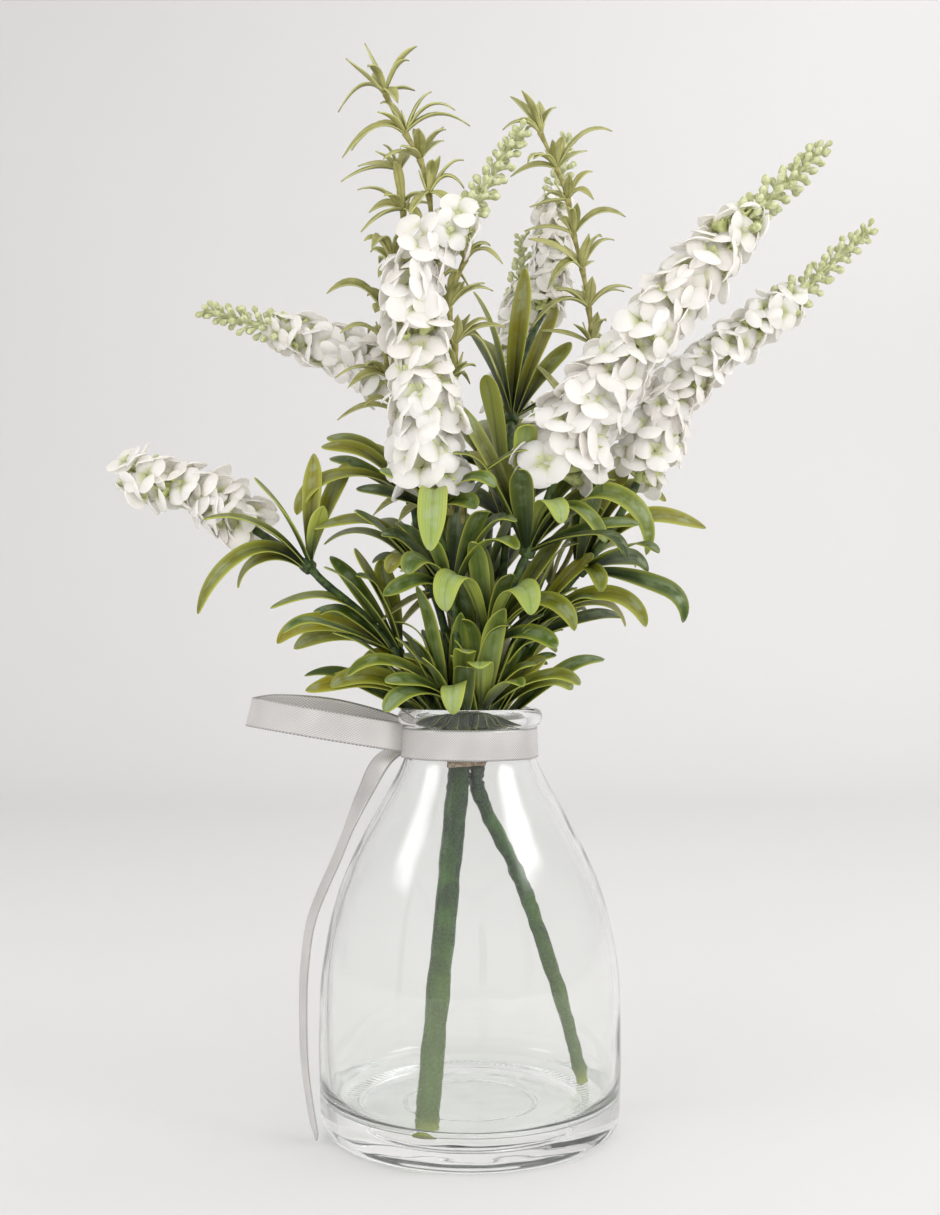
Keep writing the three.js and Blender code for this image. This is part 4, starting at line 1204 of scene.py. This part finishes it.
# %% What each sprig is like
sprigs = {
    "left_tall": {
        "line": Route((-1.6, 1.4, BRANCH_FOOT), (-3, 4, 175), (-7, 2, 215), (-10, 0, 249), (-12, -2, 276),
                      (-13, -4, 301), (-14, -4, 312), (-17, -4, 324), (-22, -4, 333), (-30, -4, 349)),
        "joints": {
            347: ((-36, -2, 365, 0), (-42, -8, 357, 0), (-18, -6, 362, 6), (-45, -2, 341, 11),
                  (-34, 6, 358, 0), (-24, -12, 340, 4), (-19, 4, 351, 2)),
            333: ((-43, -8, 323, 12), (-41, 4, 330, 11), (-5, -6, 340, 11), (0, 0, 337, 10),
                  (-31, -12, 337, 3)),
            324: ((-29, -12, 321, 5), (-9, -2, 336, 2), (-9, 8, 335, 3), (-17, -16, 330, 2),
                  (-23, -16, 324, 2)),
            312: ((-2, -4, 314, 10), (-3, -14, 301, 5), (-24, 6, 312, 3), (-10, -10, 323, 2),
                  (-20, -16, 301, 3)),
            280: ((0, 6, 282, 13), (-24, 10, 285, 11)),
            240: ((0, 10, 250, 15), (-19, 12, 252, 15)),
        },
    },
    "left_short": {
        "line": Route((-2.4, 5.8, BRANCH_FOOT), (-8, 12, 175), (-16, 12, 210), (-23, 10, 230),
                      (-26, 8, 242), (-28, 6, 252), (-30, 5, 265), (-30, 4, 275), (-27, 4, 289),
                      (-24, 4, 300), (-23, 4, 311), (-25, 4, 325)),
        "joints": {
            323: ((-44, -2, 317, 5), (-39, 8, 326, 3), (-21, 12, 333, 2), (-32, -6, 326, 2)),
            309: ((-37, -4, 299, 4), (-35, 6, 309, 5), (-14, 12, 314, 3), (-29, -8, 310, 5),
                  (-16, -2, 303, 3)),
            290: ((-36, -4, 296, 9), (-33, -10, 291, 14), (-18, 14, 300, 4), (-32, 12, 293, 5),
                  (-31, -6, 283, 2)),
            275: ((-49, 0, 279, 12), (-21, 14, 284, 3), (-35, 10, 284, 2), (-32, -6, 271, 2)),
            264: ((-44, -2, 265, 8), (-21, 16, 272, 2), (-21, 14, 259, 3), (-17, -4, 251, 3)),
            251: ((-46, 0, 250, 8), (-41, -8, 245, 7)),
            240: ((-36, -6, 239, 8), (-46, 8, 237, 7), (-16, 18, 248, 2)),
            207: ((-33, 0, 203, 10), (-11, 20, 211, 3), (-24, -8, 200, 5)),
            178: ((-31, -6, 166, 5), (-26, 4, 163, 5), (-18, 28, 176, 0)),
        },
    },
    "centre": {
        "line": Route((1.8, 0.8, BRANCH_FOOT), (1, 0, 174), (-3, -2, 208), (-5, -2, 242), (-5, -2, 259),
                      (-7, -2, 274), (-4, -1, 285), (-1, 0, 292)),
        "joints": {
            291: ((7, -2, 295, 5), (11, -8, 287, 8), (-7, 8, 300, 1), (0, -4, 299, 1)),
            274: ((5, -6, 281, 4), (8, 4, 281, 7), (-14, 8, 282, 2), (-4, -8, 281, 0), (-2, 6, 285, 0)),
            261: ((12, -6, 266, 6), (0, 4, 273, 1), (10, 2, 250, 16), (-4, -8, 270, 0)),
            251: ((2, 4, 255, 3), (-1, -8, 254, 1), (-12, 6, 258, 2)),
        },
    },
    "right_tall": {
        "line": Route((6.6, 3.4, BRANCH_FOOT), (14, 10, 158), (34, 14, 189), (38, 18, 207), (43, 24, 236),
                      (44, 28, 268), (43, 30, 283), (41, 32, 297), (38, 33, 310), (36, 34, 323),
                      (32, 35, 335), (25, 36, 351)),
        "joints": {
            349: ((19, 32, 363, 3), (15, 40, 364, 4), (32, 38, 359, 5), (12, 34, 349, 7), (26, 44, 364, 2)),
            335: ((52, 30, 347, 12), (44, 44, 345, 3), (23, 28, 336, 6), (15, 38, 333, 5),
                  (30, 30, 344, 2)),
            323: ((45, 28, 321, 7), (22, 36, 321, 1), (27, 44, 331, 0), (36, 26, 330, 0)),
            310: ((57, 32, 316, 10), (20, 36, 312, 4), (34, 42, 320, 1), (39, 28, 320, 2)),
            297: ((53, 34, 308, 8), (46, 40, 302, 1), (28, 28, 288, 11), (21, 26, 306, 5), (43, 26, 308, 0),
                  (35, 40, 308, 0)),
            282: ((59, 30, 289, 7), (57, 38, 290, 6), (21, 26, 272, 13), (44, 24, 292, 1),
                  (31, 40, 292, 4)),
            268: ((25, 28, 273, 3), (37, 22, 274, 2), (47, 36, 282, 1), (63, 36, 270, 4)),
            230: ((22, 36, 264, 9), (55, 40, 239, 2), (33, 30, 234, 2)),
            200: ((48, 24, 204, 7), (33, 30, 205, 3)),
            180: ((41, 8, 194, 17), (27, 22, 184, 14)),
        },
    },
}

# %% Sprigs with sheaths, leaves and bracts
SPRIG_RADIUS = 0.85
SPRIG_LEAF_WIDTH = 4.9
SPRIG_WALL = 0.45
SPRIG_CHANNEL = (0.7, 0.25)
SHEATH_LENGTH = 5.0
ANY_WAY = 6.28
SPARE_LENGTH = (10, 18)
BRACT_RISE = (5.5, 8.0)
BRACT_REACH = (2.2, 3.6)
BRACT_WIDTH = 1.5


def sheathed(line, joints):
    """The stem's radius: it swells up to each joint and drops back just above it."""

    def radius(share, angle):
        z = line.at(share).z
        gap = min((height - z for height in joints if height >= z), default=SHEATH_LENGTH)
        return SPRIG_RADIUS * (1.1 - 0.2 * share) + 0.5 * max(0.0, 1 - gap / SHEATH_LENGTH) ** 1.4

    return radius


for name, sprig in sprigs.items():
    rng = random.Random("sprig " + name)
    line = sprig["line"]
    mesh = new_mesh()
    for height, leaves in sprig["joints"].items():
        centre, heading, side, lift = line.frames([line.share_at_height(height)])[0]
        for x, y, z, arch in leaves:
            tip = Vector((x, y, z))
            foot = leaf_foot(centre, heading, tip, SPRIG_RADIUS * LEAF_DEPTH)
            blade(mesh, foot, tip, arch, SPRIG_LEAF_WIDTH * rng.uniform(0.85, 1.15), lance_outline,
                  channel=SPRIG_CHANNEL, roll=facing_roll(foot, tip, rng, 0.6), across=4, along=10,
                  tone=rng.uniform(0.0, 0.5))
        for _ in range(2):
            out = side * math.cos(rng.uniform(0, ANY_WAY)) + lift * math.sin(rng.uniform(0, ANY_WAY))
            way = (heading * rng.uniform(0.3, 0.9) + out).normalized()
            tip = centre + way * rng.uniform(*SPARE_LENGTH)
            blade(mesh, centre + out * 0.5, tip, rng.uniform(3, 7), SPRIG_LEAF_WIDTH * 0.85, lance_outline,
                  channel=SPRIG_CHANNEL, roll=facing_roll(centre, tip, rng, 0.6),
                  hook=rng.uniform(0.5, 1.5), across=4, along=8, tone=rng.uniform(0.0, 0.5))
        for k in range(3):
            out = turned_to(side, lift, 2.1 * k + rng.uniform(0, 1))
            tip = centre + heading * rng.uniform(*BRACT_RISE) + out * rng.uniform(*BRACT_REACH)
            blade(mesh, centre + out * 0.8, tip, 0.3, BRACT_WIDTH, lance_outline, channel=(0.5, 0.2),
                  across=2, along=5, tone=rng.uniform(0.3, 0.8))
    mesh = thicken(mesh, [sprig_leaf], SPRIG_WALL)
    rod(mesh, line, 0.003, 1.0, sheathed(line, sprig["joints"]), sides=10, pitch=1.0, finish=1)
    node = "sprig_" + name
    finish_piece(node + "_leaves", mesh, [sprig_leaf, sprig_rod], "sprig_plastic", node)
print("totals:", totals)

# %% [markdown]
# ## Floor, backdrop and light
# The bunch stands on a pale sheet that sweeps up behind it, so no horizon shows. Two large soft boxes,
# one at each side and a little above, give the bright windows on the jar's shoulders. A wide panel
# overhead and a wash on the backdrop lift the rest, and two fills from the front and the left, kept out
# of the reflections, light the white florets. A dim room leaves the glass its darker edges.

# %% Lay the sweep
SWEEP_WIDTH = 5200.0
SWEEP_FRONT = -1600.0
SWEEP_BACK = 1500.0
SWEEP_BEND = 500.0
SWEEP_TOP = 2600.0
PAPER_DULL = (0.755, 0.745, 0.74, 1)
PAPER_BRIGHT = (0.785, 0.775, 0.77, 1)


def sweep_place(u, v):
    """Flat floor, a quarter turn, then an upright back."""
    flat = SWEEP_BACK - SWEEP_BEND - SWEEP_FRONT
    bend = SWEEP_BEND * math.pi / 2
    run = v * (flat + bend + SWEEP_TOP - SWEEP_BEND)
    x = (u - 0.5) * SWEEP_WIDTH
    if run < flat:
        return Vector((x, SWEEP_FRONT + run, 0))
    if run < flat + bend:
        angle = (run - flat) / SWEEP_BEND
        y = SWEEP_BACK - SWEEP_BEND + SWEEP_BEND * math.sin(angle)
        return Vector((x, y, SWEEP_BEND * (1 - math.cos(angle))))
    return Vector((x, SWEEP_BACK, SWEEP_BEND + run - flat - bend))


paper = Finish("backdrop_paper", PAPER_DULL, roughness=0.8)
paper.coat(PAPER_BRIGHT, paper.speckle(400.0))
sweep_mesh = new_mesh()
bend_grid(sweep_mesh, 4, 96, sweep_place)
bmesh.ops.scale(sweep_mesh, vec=(MM, MM, MM), verts=sweep_mesh.verts)
to_object("backdrop", sweep_mesh, [paper])


# %% Hang the lights
def soften_edges(data):
    """Lets a light fade towards its edges, so that its reflection has no hard outline."""
    data.use_nodes = True
    nodes = Nodes(data.node_tree)
    sides = nodes.parts(nodes.add("NewGeometry").outputs["Parametric"])[:2]
    fades = [nodes.ramp(nodes.off_centre(side), 0.16, 0.5, 1.0, 0.0) for side in sides]
    nodes.feed(nodes.times(*fades), data.node_tree.nodes["Emission"].inputs["Strength"])


def softbox(name, place, aim, width, height, watts, seen=True):
    """A rectangular soft light in millimetres, turned towards aim. It can be kept out of reflections."""
    data = bpy.data.lights.new(name, "AREA")
    data.shape = "RECTANGLE"
    data.size = width * MM
    data.size_y = height * MM
    data.energy = watts
    light = bpy.data.objects.new(name, data)
    light.visible_glossy = seen
    light.visible_transmission = seen
    if seen:
        soften_edges(data)
    light.location = Vector(place) * MM
    light.rotation_euler = (Vector(aim) - Vector(place)).to_track_quat("-Z", "Y").to_euler()
    scene.collection.objects.link(light)


JAR_MIDDLE = (0, 0, 150)
BUNCH_MIDDLE = (0, 0, 220)
softbox("left_window", (-960, -280, 830), JAR_MIDDLE, 640, 540, 4.0)
softbox("right_window", (900, -320, 880), JAR_MIDDLE, 760, 600, 7.5)
softbox("top_panel", (200, -100, 1500), (0, 0, 0), 1500, 1300, 2.8)
softbox("backdrop_wash", (900, 500, 1500), (500, 1500, 350), 1100, 1100, 11.0)
softbox("front_fill", (750, -1300, 480), BUNCH_MIDDLE, 900, 700, 10.0, seen=False)
softbox("left_fill", (-950, -1000, 420), BUNCH_MIDDLE, 900, 700, 5.5, seen=False)

# %% Dim room
ROOM_COLOUR = (0.88, 0.875, 0.87, 1)
ROOM_LIGHT = 0.74
room = bpy.data.worlds.new("room")
room.use_nodes = True
room.node_tree.nodes["Background"].inputs[0].default_value = ROOM_COLOUR
room.node_tree.nodes["Background"].inputs[1].default_value = ROOM_LIGHT
scene.world = room
scene.view_settings.view_transform = "Standard"
scene.view_settings.exposure = 0.0
print("lights:", [light.name for light in bpy.data.lights])
